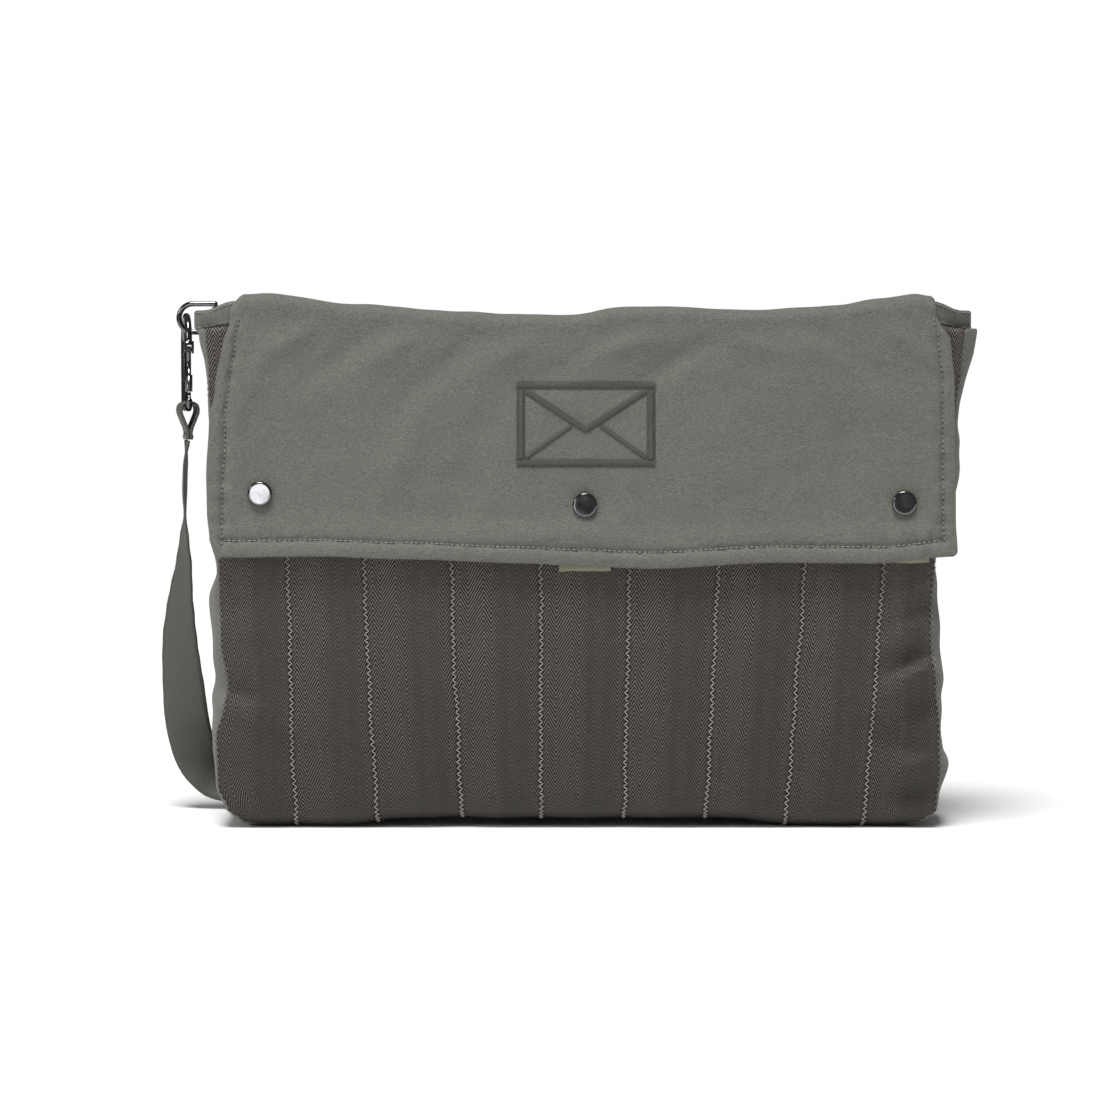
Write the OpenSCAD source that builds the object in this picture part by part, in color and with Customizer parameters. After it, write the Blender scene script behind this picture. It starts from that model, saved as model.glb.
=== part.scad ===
// Soft flap-top mail bag: a padded body of nine webbing strips, a folding flap
// with three press snaps, two side rings with gated hooks, and a shoulder strap.
// Millimetres. X is the width, the front faces -Y, +Z is up.
// The origin is the middle of the base, which rests on z = 0.

/* [Body] */
// Half of the body's width, from the middle to the side panels
half_w = 192; // [186:1:196]
// How much each side spreads outwards by the mouth
flare = 10; // [6:1:11]
// Height of the finished mouth
rim_z = 277; // [270:1:286]
// Half of the body's depth at the base
base_half = 33; // [30:1:36]
// How much each face comes in from base to mouth
taper = 6; // [4:1:8]
// How far each padded face swells between base and mouth
belly = 6.5; // [4:0.5:8]
// Width of one webbing strip with its seam
strip_pitch = 46; // [45:0.5:47]
// Thickness of the body webbing
webbing_t = 1.6; // [1.2:0.1:1.8]
// Thickness of the foam between webbing and lining
foam_t = 3; // [2:0.5:3.5]
// Height of the hem round the mouth
binding_h = 11; // [8:1:14]

/* [Flap] */
// Half of the flap's width along the top
flap_top_half = 191; // [185:1:194]
// Half of the flap's width over the front
flap_half = 198; // [192:1:204]
// Height of the flap's lower edge at its middle
flap_low_z = 140.5; // [130:0.5:150]
// How much higher the lower edge is at the corners
flap_edge_rise = 5.5; // [3:0.5:7]
// Air between the flap's lining and the body
flap_gap = 2.8; // [2.8:0.1:3.2]

/* [Snaps] */
// Places of the snaps across the width
snap_x = [-172, 1, 171];
// Heights of the snaps, in the same order
snap_z = [180, 174, 175];
// Radius of a snap's domed cap
cap_r = 6.5; // [6:0.5:7.5]
// Heights of the lower ends of the tabs that carry the studs
tab_low_z = [150, 138.5, 143];
// Width of the tab that carries each stud
tab_w = 28; // [24:1:32]

/* [Rings and hooks] */
// Diameter of the rings' wire
ring_wire = 3; // [2.8:0.1:3.2]
// Diameter of the hooks' rod
hook_rod = 3.6; // [3.4:0.1:3.8]
// Length of a hook over all
hook_l = 54.5; // [53:0.5:56]
// Width of the shoulder strap
strap_w = 25; // [24:0.5:25]
// Thickness of the shoulder strap
strap_t = 1.5; // [1.2:0.1:1.6]

/* [Hidden] */

$fn = 48;
base_r = 16;
corner_r = 18;
flare_z = 140;
wall_steps = 12;
ply_gap = 0.2;
seam_gap = 0.1;
lining_t = 0.8;
gusset_t = 2;
side_x = [for (i = [1:8]) (i - 4.5) * strip_pitch];
cloth_top = rim_z - binding_h + 0.3;
foam_in = webbing_t + ply_gap;
lining_in = foam_in + foam_t + ply_gap;
binding_out = 1.2;

flap_lining_t = 0.6;
flap_foam_t = 1.6;
flap_shell_t = 0.8;
flap_foam_out = flap_gap + flap_lining_t + ply_gap;
flap_shell_out = flap_foam_out + flap_foam_t + ply_gap;
flap_out = flap_shell_out + flap_shell_t;
flap_under_z = rim_z + 1;
flap_t = flap_out - flap_gap;
flap_over_z = flap_under_z + flap_t;
anchor_out = 1.5;
anchor_low_z = 236;
anchor_half = 188;
fold_y = -(base_half - taper + flap_out);
lift_y = base_half - taper + anchor_out + flap_t;
mitre_gap = 0.15;

ring_r = 7.85;
ring_reach = 12.15;
ring_bar = [-203.5, 33, 275.2];
rear_ring_bar = [177, 35.5, 268.5];
bow_gap = 16;
hook_over_ring = 2.8;
hook_half = 14.2;
hook_corner = 4;
hook_turn = -78;
loop_w = 24;
loop_l = 70;
pivot_drop = 20.5;
slider_z = 85;
strap_clear = 0.3;
loop_gap = 0.5;
strap_half_gap = strap_t / 2 + 0.15;

cloth = [0.44, 0.44, 0.415];
webbing = [0.30, 0.29, 0.27];
lining = [0.25, 0.25, 0.24];
foam = [0.78, 0.77, 0.72];
strap_colour = [0.34, 0.335, 0.32];
tab_colour = [0.50, 0.48, 0.40];
nickel = [0.16, 0.16, 0.17];

// The strap's route: a point, then the way its width lies there.
// It leaves the left hook edge-on, turns its face forwards as it falls, lies
// down behind the body, runs back and forth twice on its edge, and rises
// behind the right-hand end to the rear hook.
strap_route = [
    [[-219.5, 33, 207.5], [0.2, -1, 0]], [[-220.5, 33, 194], [0.06, -1, 0]],
    [[-221, 33, 180], [0.06, -1, 0]], [[-221, 33.5, 166], [0.12, -1, 0]],
    [[-221.5, 34, 152], [0.28, -0.96, 0]], [[-222, 35, 138], [0.42, -0.9, 0]],
    [[-223.5, 36, 124], [0.56, -0.83, 0]], [[-224.5, 38, 110], [0.7, -0.72, 0]],
    [[-225, 40, 96], [0.82, -0.57, 0]], [[-224.5, 42, 82], [0.9, -0.43, 0]],
    [[-223.5, 44, 68], [0.97, -0.25, 0]], [[-222.5, 46, 54], [1, -0.05, 0]],
    [[-220.5, 48.5, 41], [0.97, 0.15, 0.15]], [[-217, 51, 29], [0.85, 0.3, 0.4]],
    [[-210, 54, 18], [0.55, 0.6, 0.55]], [[-198, 57, 9.5], [0.2, 0.88, 0.42]],
    [[-182, 59, 4], [0.05, 0.98, 0.18]], [[-162, 60, 1.6], [0, 1, 0.02]],
    [[-110, 60, 1.2], [0, 1, 0]], [[-60, 60, 1.2], [0, 1, 0]],
    [[-10, 60, 1.2], [0, 1, 0]], [[30, 60, 1.6], [0, 1, 0.03]],
    [[65, 60, 7.2], [0, 0.87, 0.5]], [[92, 60, 12.2], [0, 0.4, 0.9]],
    [[110, 60, 13.4], [0, 0, 1]], [[121, 61.5, 13.4], [0, 0, 1]],
    [[130, 67.5, 13.4], [0, 0, 1]], [[133.5, 76, 13.4], [0, 0, 1]],
    [[129.5, 84.5, 13.4], [0, 0, 1]], [[120.5, 89.5, 13.4], [0, 0, 1]],
    [[108, 90.5, 13.4], [0, 0, 1]], [[60, 90.5, 13.4], [0, 0, 1]],
    [[-10, 90.5, 13.4], [0, 0, 1]], [[-80, 90.5, 13.4], [0, 0, 1]],
    [[-128, 90.5, 13.4], [0, 0, 1]], [[-141, 92, 13.4], [0, 0, 1]],
    [[-149.5, 97, 13.4], [0, 0, 1]], [[-152.5, 104, 13.4], [0, 0, 1]],
    [[-148.5, 111.5, 13.4], [0, 0, 1]], [[-139.5, 116, 13.4], [0, 0, 1]],
    [[-127, 117, 13.4], [0, 0, 1]], [[-80, 117, 13.4], [0, 0, 1]],
    [[-10, 117, 13.4], [0, 0, 1]], [[60, 117, 13.4], [0, 0, 1]],
    [[108, 117, 13.4], [0, 0, 1]], [[132, 115, 13.4], [0, 0, 1]],
    [[152, 107.5, 13], [0.25, 0.2, 0.95]], [[166, 95, 11.2], [0.5, 0.3, 0.8]],
    [[174, 81, 7.5], [0.85, 0.1, 0.5]], [[177, 69, 3.2], [1, 0, 0.12]],
    [[177, 60.5, 4.5], [1, 0, 0]], [[177, 54.8, 12], [1, 0, 0]],
    [[177, 52.8, 24], [1, 0, 0]], [[177, 52.4, 40], [1, 0, 0]],
    [[177, 52.4, 60], [1, 0, 0]], [[177, 52.4, 110], [1, 0, 0]],
    [[177, 52.4, 160], [1, 0, 0]], [[177, 52.4, 200.8], [1, 0, 0]]];

// Half of the body's depth at a height
function half_depth(z) =
    let (h = min(z, rim_z))
    base_half - taper * h / rim_z + belly * sin(180 * h / rim_z);

// Half of the body's width at a height
function half_x(z) = half_w + flare * max(0, z - flare_z) / (rim_z - flare_z);

function arc(centre, r, from, to, steps = 6) =
    [for (i = [0:steps])
        let (a = from + (to - from) * i / steps)
        [centre[0] + r * cos(a), centre[1] + r * sin(a)]];

function reversed(points) = [for (i = [len(points) - 1:-1:0]) points[i]];

function mirrored(points) = [for (p = reversed(points)) [-p[0], p[1]]];

// Heights from low to high, evenly spaced
function heights(low, high) =
    [for (i = [0:wall_steps]) low + (high - low) * i / wall_steps];

// The body's end-on outline at a depth inside its skin, open at the top
function body_outline(inset, top) =
    let (wall = [for (z = reversed(heights(base_r, top))) [half_depth(z) - inset, z]])
    let (corner = arc([half_depth(base_r) - base_r, base_r], base_r - inset, 0, -90))
    let (half = concat(wall, corner))
    concat(half, mirrored(half));

// A sheet that follows one face of the body between two offsets from its skin
function face_sheet(side, near, far, low, high) =
    concat(
        [for (z = heights(low, high)) [side * (half_depth(z) + near), z]],
        [for (z = reversed(heights(low, high))) [side * (half_depth(z) + far), z]]);

// The body seen from the front, grown outwards by some amount
function front_outline(grow) =
    let (half = concat(
        [[half_x(rim_z) + grow, rim_z], [half_x(flare_z) + grow, flare_z]],
        arc([half_w - corner_r, corner_r], corner_r + grow, 0, -90)))
    concat(half, mirrored(half));

// The flap's front seen from the front: square corners, eased, and a lower
// edge that dips towards its middle
function flap_outline() =
    let (ease = 6)
    let (corner_z = flap_low_z + flap_edge_rise)
    let (side = [[flap_top_half, flap_over_z + 1], [flap_half, rim_z - 30]])
    let (corner = arc([flap_half - ease, corner_z + ease], ease, 0, -90))
    let (edge = [for (i = [5:-1:0])
        let (x = (flap_half - ease) * i / 6)
        [x, flap_low_z + flap_edge_rise * pow(i / 6, 2)]])
    let (half = concat(side, corner, edge))
    concat(half, [for (p = mirrored(half)) if (p[0] < 0) p]);

module along_x(from, to) {
    translate([from, 0, 0])
        rotate([90, 0, 90])
            linear_extrude(to - from)
                children();
}

module through_y() {
    translate([0, 200, 0])
        rotate([90, 0, 0])
            linear_extrude(400)
                children();
}

// One U-shaped strip that runs down the front, under the base and up the back
module webbing_strip(i) {
    from = i == 0 ? -half_w - 20 : side_x[i - 1] + seam_gap;
    to = i == 8 ? half_w + 20 : side_x[i] - seam_gap;
    color(webbing)
        intersection() {
            along_x(from, to)
                difference() {
                    polygon(body_outline(0, cloth_top));
                    polygon(body_outline(webbing_t, cloth_top + 1));
                }
            through_y() polygon(front_outline(0));
        }
}

// A side panel just outside the strips' ends; side is -1 or 1
module gusset(side) {
    color(cloth)
        intersection() {
            along_x(side < 0 ? -half_w - 20 : half_w - corner_r, side < 0 ? corner_r - half_w : half_w + 20)
                intersection() {
                    polygon(body_outline(0, cloth_top));
                    translate([-base_half - belly, ply_gap])
                        square([2 * (base_half + belly), rim_z]);
                }
            through_y()
                difference() {
                    polygon(front_outline(ply_gap + gusset_t));
                    polygon(front_outline(ply_gap));
                }
        }
}

module mouth_plan(x, y, r) {
    for (sx = [-1, 1])
        for (sy = [-1, 1])
            translate([sx * (x - r), sy * (y - r)]) circle(r);
    square([2 * x, 2 * (y - r)], center = true);
    square([2 * (x - r), 2 * y], center = true);
}

// The hem round the mouth, standing out at both ends as small ears
module mouth_binding() {
    out_x = half_x(rim_z) + 6;
    out_y = base_half - taper + binding_out;
    in_x = half_w + 4;
    in_y = base_half - taper - lining_in - lining_t - 0.4;
    color(cloth)
        translate([0, 0, rim_z - binding_h + 0.5])
            linear_extrude(binding_h)
                difference() {
                    mouth_plan(out_x, out_y, 9);
                    mouth_plan(in_x, in_y, 6);
                }
}

module face_padding(side) {
    color(foam)
        along_x(-half_w + 3, half_w - 3)
            polygon(face_sheet(side, -foam_in - foam_t, -foam_in, base_r + 1, cloth_top));
}

module base_padding() {
    color(foam)
        translate([-half_w + corner_r, base_r - base_half, foam_in])
            cube([2 * (half_w - corner_r), 2 * (base_half - base_r), foam_t]);
}

// The bag's inside at a depth behind its skin
module inside_form(inset, side_inset, top) {
    intersection() {
        along_x(-half_w - 20, half_w + 20)
            polygon(body_outline(inset, top));
        through_y() polygon(front_outline(-side_inset));
    }
}

module body_lining() {
    color(lining)
        difference() {
            inside_form(lining_in, 4, cloth_top);
            inside_form(lining_in + lining_t, 4 + lining_t, cloth_top + 1);
        }
}

// Snap pieces are drawn along +Z, which points out of the body's front
module at_snap(i, out) {
    translate([snap_x[i], -(half_depth(snap_z[i]) + out), snap_z[i]])
        rotate([90, 0, 0])
            children();
}

// A tab of folded tape under the flap; two of the ends show below its edge
module stud_tab(i) {
    color(tab_colour)
        along_x(snap_x[i] - tab_w / 2, snap_x[i] + tab_w / 2)
            polygon(face_sheet(-1, ply_gap, ply_gap + 1.2, tab_low_z[i], snap_z[i] + 14));
}

module snap_stud(i) {
    color(nickel)
        at_snap(i, 1.65) {
            cylinder(r = 4.5, h = 0.4);
            cylinder(r = 1.5, h = 1);
            translate([0, 0, 1.05]) cylinder(r = 1.8, h = 0.9);
        }
}

module snap_socket(i) {
    color(nickel)
        at_snap(i, flap_gap - 0.4)
            difference() {
                cylinder(r = 5, h = 2.2);
                translate([0, 0, -1]) cylinder(r = 2.9, h = 2.8);
            }
}

module snap_post(i) {
    color(nickel)
        at_snap(i, flap_gap + 1.8)
            cylinder(r = 1.5, h = flap_t + 0.35 - 1.8);
}

module snap_cap(i) {
    dome_h = 2.2;
    dome_r = (cap_r * cap_r + dome_h * dome_h) / (2 * dome_h);
    color(nickel)
        at_snap(i, flap_out + 0.35)
            intersection() {
                translate([0, 0, dome_h - dome_r]) sphere(dome_r, $fn = 96);
                cylinder(r = cap_r - 0.1, h = dome_h + 1);
            }
}

// Holes through one ply of the flap for the snaps
module snap_holes(r) {
    for (i = [0:2])
        at_snap(i, 0) cylinder(r = r, h = flap_out + 2);
}

// The region of the flap's front, cut back at 45 degrees from the fold line
module front_ply(near, far, hole_r) {
    difference() {
        intersection() {
            along_x(-flap_half - 5, flap_half + 5)
                difference() {
                    polygon(face_sheet(-1, near, far, flap_low_z - 1, flap_over_z));
                    polygon([
                        [fold_y - mitre_gap, flap_over_z],
                        [fold_y + 20, flap_over_z - 20 - mitre_gap],
                        [fold_y + 20, flap_over_z + 5],
                        [fold_y - mitre_gap, flap_over_z + 5]]);
                }
            through_y() polygon(flap_outline());
        }
        snap_holes(hole_r);
    }
}

// One ply of the flap's top, cut at 45 degrees at both folds
module top_ply(near, far) {
    top_far = flap_under_z - flap_gap + far;
    top_near = flap_under_z - flap_gap + near;
    along_x(-flap_top_half, flap_top_half)
        polygon([
            [fold_y + flap_over_z - top_far + mitre_gap, top_far],
            [fold_y + flap_over_z - top_near + mitre_gap, top_near],
            [lift_y - flap_over_z + top_near - mitre_gap, top_near],
            [lift_y - flap_over_z + top_far - mitre_gap, top_far]]);
}

module flap_front_shell() color(cloth) front_ply(flap_shell_out, flap_out, 1.8);
module flap_front_padding() color(foam) front_ply(flap_foam_out, flap_foam_out + flap_foam_t, 5.3);
module flap_front_lining() color(lining) front_ply(flap_gap, flap_gap + flap_lining_t, 5.3);
module flap_top_shell() color(cloth) top_ply(flap_shell_out, flap_out);
module flap_top_padding() color(foam) top_ply(flap_foam_out, flap_foam_out + flap_foam_t);
module flap_top_lining() color(lining) top_ply(flap_gap, flap_gap + flap_lining_t);

// The flap's sewn-down end on the back, which stands off over the hem
module flap_anchor() {
    sewn_z = rim_z - 18;
    free_z = rim_z - binding_h;
    y0 = half_depth(anchor_low_z) + ply_gap;
    y1 = half_depth(sewn_z) + ply_gap;
    y2 = base_half - taper + anchor_out;
    color(cloth)
        along_x(-anchor_half, anchor_half)
            polygon([
                [y0, anchor_low_z], [y1, sewn_z], [y2, free_z],
                [y2, flap_over_z - flap_t - mitre_gap],
                [lift_y, flap_over_z - mitre_gap],
                [lift_y, free_z], [y1 + flap_t - 1, sewn_z], [y0 + flap_t - 1, anchor_low_z]]);
}

// A D-ring: its bar stands on the Z axis and its bow points to -X
module d_ring() {
    wire_r = ring_wire / 2;
    color(nickel) {
        translate([0, 0, -ring_r]) cylinder(r = wire_r, h = 2 * ring_r);
        for (s = [-1, 1])
            translate([0, 0, s * ring_r]) {
                sphere(wire_r);
                rotate([0, -90, 0]) cylinder(r = wire_r, h = ring_reach);
            }
        translate([-ring_reach, 0, 0])
            rotate([90, 0, 0])
                rotate([0, 0, 90])
                    rotate_extrude(angle = 180) translate([ring_r, 0]) circle(wire_r);
    }
}

// A loop of cloth round a ring's bar, with a tail sewn into the back seam
module ring_tab(bar, tail_from, tail_to) {
    tab_h = 10;
    eye_r = ring_wire / 2 + 1.7;
    foot_y = base_half - taper + binding_out + 0.3;
    color(cloth)
        translate([0, 0, bar[2] - tab_h / 2])
            difference() {
                union() {
                    translate([bar[0], bar[1], 0]) cylinder(r = eye_r, h = tab_h);
                    translate([min(bar[0], tail_to), bar[1] - 1.5, 0])
                        cube([abs(tail_to - bar[0]), 3, tab_h]);
                    translate([tail_from, foot_y, 0])
                        cube([tail_to - tail_from, bar[1] + 1.5 - foot_y, tab_h]);
                }
                translate([bar[0], bar[1], -1])
                    cylinder(r = ring_wire / 2 + 0.08, h = tab_h + 2);
            }
}

// The hook is drawn in the XZ plane with its top at the origin and its
// opening on +X
module hook_frame() {
    rod_r = hook_rod / 2;
    top_z = -rod_r - hook_half;
    bar_z = -hook_l + rod_r;
    corner_z = bar_z + hook_corner;
    corner_x = hook_half - hook_corner;
    color(nickel)
        difference() {
            union() {
                translate([0, 0, top_z])
                    rotate([90, 0, 0])
                        rotate_extrude(angle = 180) translate([hook_half, 0]) circle(rod_r);
                translate([-hook_half, 0, corner_z]) cylinder(r = rod_r, h = top_z - corner_z);
                for (s = [0, 1])
                    mirror([s, 0, 0])
                        translate([corner_x, 0, corner_z])
                            rotate([90, 0, 0])
                                rotate([0, 0, -90])
                                    rotate_extrude(angle = 90)
                                        translate([hook_corner, 0]) circle(rod_r);
                translate([-corner_x, 0, bar_z])
                    rotate([0, 90, 0]) cylinder(r = rod_r, h = 2 * corner_x);
                translate([hook_half, 0, corner_z]) {
                    sphere(rod_r);
                    cylinder(r = 1, h = 4.8);
                }
                translate([hook_half - 2.2, -2.6, top_z - 2]) cube([4.4, 5.2, 2.2]);
                for (y = [-2.6, 1.6])
                    translate([hook_half, y, -pivot_drop]) {
                        rotate([-90, 0, 0]) cylinder(r = 2.2, h = 1);
                        translate([-2.2, 0, 0]) cube([4.4, 1, pivot_drop + top_z - 1]);
                    }
            }
            translate([hook_half, 3, -pivot_drop])
                rotate([90, 0, 0]) cylinder(r = 0.8, h = 6);
        }
}

// The sprung gate closes the hook from its pivot down to the nose
module hook_gate() {
    low_z = -hook_l + hook_rod / 2 + hook_corner + 5.1;
    color(nickel)
        translate([hook_half, 0, 0])
            difference() {
                union() {
                    translate([0, 1.2, -pivot_drop]) rotate([90, 0, 0]) cylinder(r = 1.9, h = 2.4);
                    translate([0, 0, low_z + 9]) cylinder(r = 1.2, h = -pivot_drop - 1 - low_z - 9);
                    translate([0, 0, low_z]) cylinder(r = 1.9, h = 9.3);
                }
                translate([0, 3, -pivot_drop]) rotate([90, 0, 0]) cylinder(r = 0.87, h = 6);
                translate([0, 0.3, -pivot_drop]) rotate([90, 0, 0]) cylinder(r = 1.6, h = 0.6);
            }
}

module hook_pin() {
    color(nickel)
        translate([hook_half, 2.6, -pivot_drop])
            rotate([90, 0, 0]) cylinder(r = 0.8, h = 5.2);
}

// The gate's little return spring, wound round the pin inside the gate's eye
module hook_spring() {
    color("silver")
        translate([hook_half, 0, -pivot_drop])
            rotate([90, 0, 0])
                rotate_extrude() translate([1.25, 0]) circle(0.2);
}

// The strap's end, looped over the hook's lower bar and sewn to itself
module strap_loop() {
    bow_z = -hook_l + hook_rod / 2 + 1;
    bow_r = hook_rod / 2 + strap_clear;
    pinch_z = bow_z - 9.5;
    lay = strap_half_gap + strap_t / 2;
    color(strap_colour)
        translate([-loop_w / 2, 0, 0])
            rotate([90, 0, 90])
                linear_extrude(loop_w)
                    difference() {
                        polygon(concat(
                            arc([0, bow_z], bow_r + strap_t, 0, 180, 16),
                            [[-bow_r - strap_t, bow_z - 3], [-lay, pinch_z], [-lay, -loop_l],
                             [lay, -loop_l], [lay, pinch_z], [bow_r + strap_t, bow_z - 3]]));
                        polygon(concat(
                            arc([0, bow_z], bow_r, 0, 180, 16),
                            [[-bow_r, bow_z - 3], [0, pinch_z + 0.6], [bow_r, bow_z - 3]]));
                    }
}

module at_left_hook() {
    translate([ring_bar[0] - bow_gap, ring_bar[1], ring_bar[2] + hook_over_ring])
        rotate([0, 0, hook_turn])
            children();
}

module at_right_hook() {
    translate([rear_ring_bar[0], rear_ring_bar[1] + bow_gap, rear_ring_bar[2] + hook_over_ring])
        children();
}

// The slider: two rails, a bar above and below the strap, and a middle bar
// on the body's side that carries the strap's sewn end
module strap_slider() {
    bar_r = 1.2;
    strap_y = rear_ring_bar[1] + bow_gap + strap_half_gap;
    outer_y = strap_y + strap_t / 2 + strap_clear + bar_r;
    inner_y = strap_y - 1.5 * strap_t - 2 * strap_clear - bar_r + 0.1;
    rail_x = strap_w / 2 + 1;
    color(nickel)
        translate([rear_ring_bar[0], 0, slider_z]) {
            for (x = [-rail_x - 2.4, rail_x])
                translate([x, inner_y - bar_r, -12])
                    cube([2.4, outer_y - inner_y + 2 * bar_r, 24]);
            for (p = [[outer_y, -10.5], [outer_y, 10.5], [inner_y, 0]])
                translate([-rail_x, p[0], p[1]])
                    rotate([0, 90, 0]) cylinder(r = bar_r, h = 2 * rail_x);
        }
}

// The doubled part of the strap, from the rear hook down to the slider
module strap_return() {
    bar_r = 1.2;
    near_y = rear_ring_bar[1] + bow_gap - strap_half_gap;
    strap_y = near_y + 2 * strap_half_gap;
    inner_y = strap_y - 1.5 * strap_t - 2 * strap_clear - bar_r + 0.1;
    wrap_r = near_y + strap_t / 2 - inner_y;
    top_z = rear_ring_bar[2] + hook_over_ring - loop_l - loop_gap;
    color(strap_colour)
        translate([rear_ring_bar[0] - strap_w / 2, 0, 0])
            rotate([90, 0, 90])
                linear_extrude(strap_w)
                    difference() {
                        union() {
                            translate([inner_y, slider_z]) circle(wrap_r);
                            translate([near_y - strap_t / 2, slider_z])
                                square([strap_t, top_z - slider_z]);
                        }
                        translate([inner_y, slider_z]) circle(bar_r + 0.15);
                    }
}

function unit(v) = v / norm(v);

// The strap's four corners at one point of its route
function strap_ring(i) =
    let (last = len(strap_route) - 1)
    let (along = unit(strap_route[min(i + 1, last)][0] - strap_route[max(i - 1, 0)][0]))
    let (lean = strap_route[i][1])
    let (across = unit(lean - (lean * along) * along))
    let (face = cross(along, across))
    let (p = strap_route[i][0])
    [for (s = [[-1, -1], [1, -1], [1, 1], [-1, 1]])
        p + s[0] * across * strap_w / 2 + s[1] * face * strap_t / 2];

module shoulder_strap() {
    count = len(strap_route);
    points = [for (i = [0:count - 1]) each strap_ring(i)];
    sides = [for (i = [0:count - 2]) for (k = [0:3])
        let (a = 4 * i + k)
        let (b = 4 * i + (k + 1) % 4)
        each k < 2
            ? [[a, a + 4, b], [b, a + 4, b + 4]]
            : [[a, a + 4, b + 4], [a, b + 4, b]]];
    last = 4 * (count - 1);
    ends = [[0, 1, 2], [0, 2, 3], [last, last + 2, last + 1], [last, last + 3, last + 2]];
    color(strap_colour)
        polyhedron(points = points, faces = concat(sides, ends));
}

webbing_strip(0);  // webbing_strip_1
webbing_strip(1);  // webbing_strip_2
webbing_strip(2);  // webbing_strip_3
webbing_strip(3);  // webbing_strip_4
webbing_strip(4);  // webbing_strip_5
webbing_strip(5);  // webbing_strip_6
webbing_strip(6);  // webbing_strip_7
webbing_strip(7);  // webbing_strip_8
webbing_strip(8);  // webbing_strip_9
gusset(-1);  // left_gusset
gusset(1);  // right_gusset
mouth_binding();
face_padding(-1);  // front_padding
base_padding();
face_padding(1);  // back_padding
body_lining();
stud_tab(0);  // left_stud_tab
stud_tab(1);  // middle_stud_tab
stud_tab(2);  // right_stud_tab
snap_stud(0);  // left_snap_stud
snap_stud(1);  // middle_snap_stud
snap_stud(2);  // right_snap_stud
flap_anchor();
flap_top_shell();
flap_top_padding();
flap_top_lining();
flap_front_shell();
flap_front_padding();
flap_front_lining();
snap_cap(0);  // left_snap_cap
snap_cap(1);  // middle_snap_cap
snap_cap(2);  // right_snap_cap
snap_post(0);  // left_snap_post
snap_post(1);  // middle_snap_post
snap_post(2);  // right_snap_post
snap_socket(0);  // left_snap_socket
snap_socket(1);  // middle_snap_socket
snap_socket(2);  // right_snap_socket
ring_tab(ring_bar, -203, -192);  // left_ring_tab
ring_tab(rear_ring_bar, 191, 202);  // right_ring_tab
translate(ring_bar) d_ring();  // left_ring
translate(rear_ring_bar) rotate([0, 0, -90]) d_ring();  // right_ring
at_left_hook() hook_frame();  // left_hook
at_left_hook() hook_gate();  // left_gate
at_left_hook() hook_pin();  // left_gate_pin
at_left_hook() hook_spring();  // left_gate_spring
at_left_hook() strap_loop();  // left_strap_loop
at_right_hook() hook_frame();  // right_hook
at_right_hook() hook_gate();  // right_gate
at_right_hook() hook_pin();  // right_gate_pin
at_right_hook() hook_spring();  // right_gate_spring
at_right_hook() strap_loop();  // right_strap_loop
strap_slider();
strap_return();
shoulder_strap();
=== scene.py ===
"""The looks of a soft flap-top mail bag, built round its CAD frame.

Metres, in the frame of the CAD model: X is the width, the front faces -Y and
Z is up, with the base resting on z = 0.
"""
import math

import bmesh
import bpy
from bpy.props import FloatProperty, FloatVectorProperty, PointerProperty
from mathutils import Matrix, Vector, noise


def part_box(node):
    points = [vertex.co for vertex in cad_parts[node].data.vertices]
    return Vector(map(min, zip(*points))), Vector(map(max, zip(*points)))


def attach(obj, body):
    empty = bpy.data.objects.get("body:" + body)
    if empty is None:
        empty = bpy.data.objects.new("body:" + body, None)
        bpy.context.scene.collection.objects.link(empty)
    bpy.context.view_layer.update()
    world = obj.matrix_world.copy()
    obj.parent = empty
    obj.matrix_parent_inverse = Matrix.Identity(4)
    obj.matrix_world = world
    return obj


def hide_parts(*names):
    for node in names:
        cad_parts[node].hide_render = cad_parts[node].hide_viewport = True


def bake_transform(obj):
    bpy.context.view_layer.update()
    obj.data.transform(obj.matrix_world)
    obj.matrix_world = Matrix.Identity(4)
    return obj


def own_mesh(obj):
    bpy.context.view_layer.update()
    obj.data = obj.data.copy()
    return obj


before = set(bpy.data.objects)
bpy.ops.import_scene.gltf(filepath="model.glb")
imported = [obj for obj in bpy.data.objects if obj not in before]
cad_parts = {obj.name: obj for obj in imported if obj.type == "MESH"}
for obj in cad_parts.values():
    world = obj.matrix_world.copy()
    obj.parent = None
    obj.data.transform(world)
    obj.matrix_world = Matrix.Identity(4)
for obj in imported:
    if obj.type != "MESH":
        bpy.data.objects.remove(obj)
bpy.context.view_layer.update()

bl_info = {
    "name": "Mail bag",
    "version": (1, 0, 0),
    "blender": (4, 5, 0),
    "location": "View3D > Sidebar > Mail bag",
    "description": "Builds a padded flap-top mail bag with its hardware and shoulder strap",
    "category": "Object",
}

MM = 0.001


def shade(red, green, blue):
    """A linear colour from its usual 0 to 255 numbers."""
    parts = [c / 255 for c in (red, green, blue)]
    return tuple(c / 12.92 if c <= 0.04045 else ((c + 0.055) / 1.055) ** 2.4 for c in parts)


def tint(colour, share):
    """A colour made darker or lighter by a share."""
    return tuple(c * share for c in colour)


def clamp(value, low=0.0, high=1.0):
    return max(low, min(high, value))


def smooth(value):
    """0 to 1 with a level start and end."""
    t = clamp(value)
    return t * t * (3 - 2 * t)


def bell(value, width):
    return math.exp(-((value / width) ** 2))


def along(points, at):
    """The value at a place between (place, value) pairs, with a smooth turn at each."""
    if at <= points[0][0]:
        return points[0][1]
    for (a, low), (b, high) in zip(points, points[1:]):
        if at <= b:
            return low + (high - low) * smooth((at - a) / (b - a))
    return points[-1][1]


def stepped(points, at):
    """The value at a place between (place, value) pairs, along straight lines."""
    for (a, low), (b, high) in zip(points, points[1:]):
        if at <= b:
            return low + (high - low) * (at - a) / (b - a)
    return points[-1][1]


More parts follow.
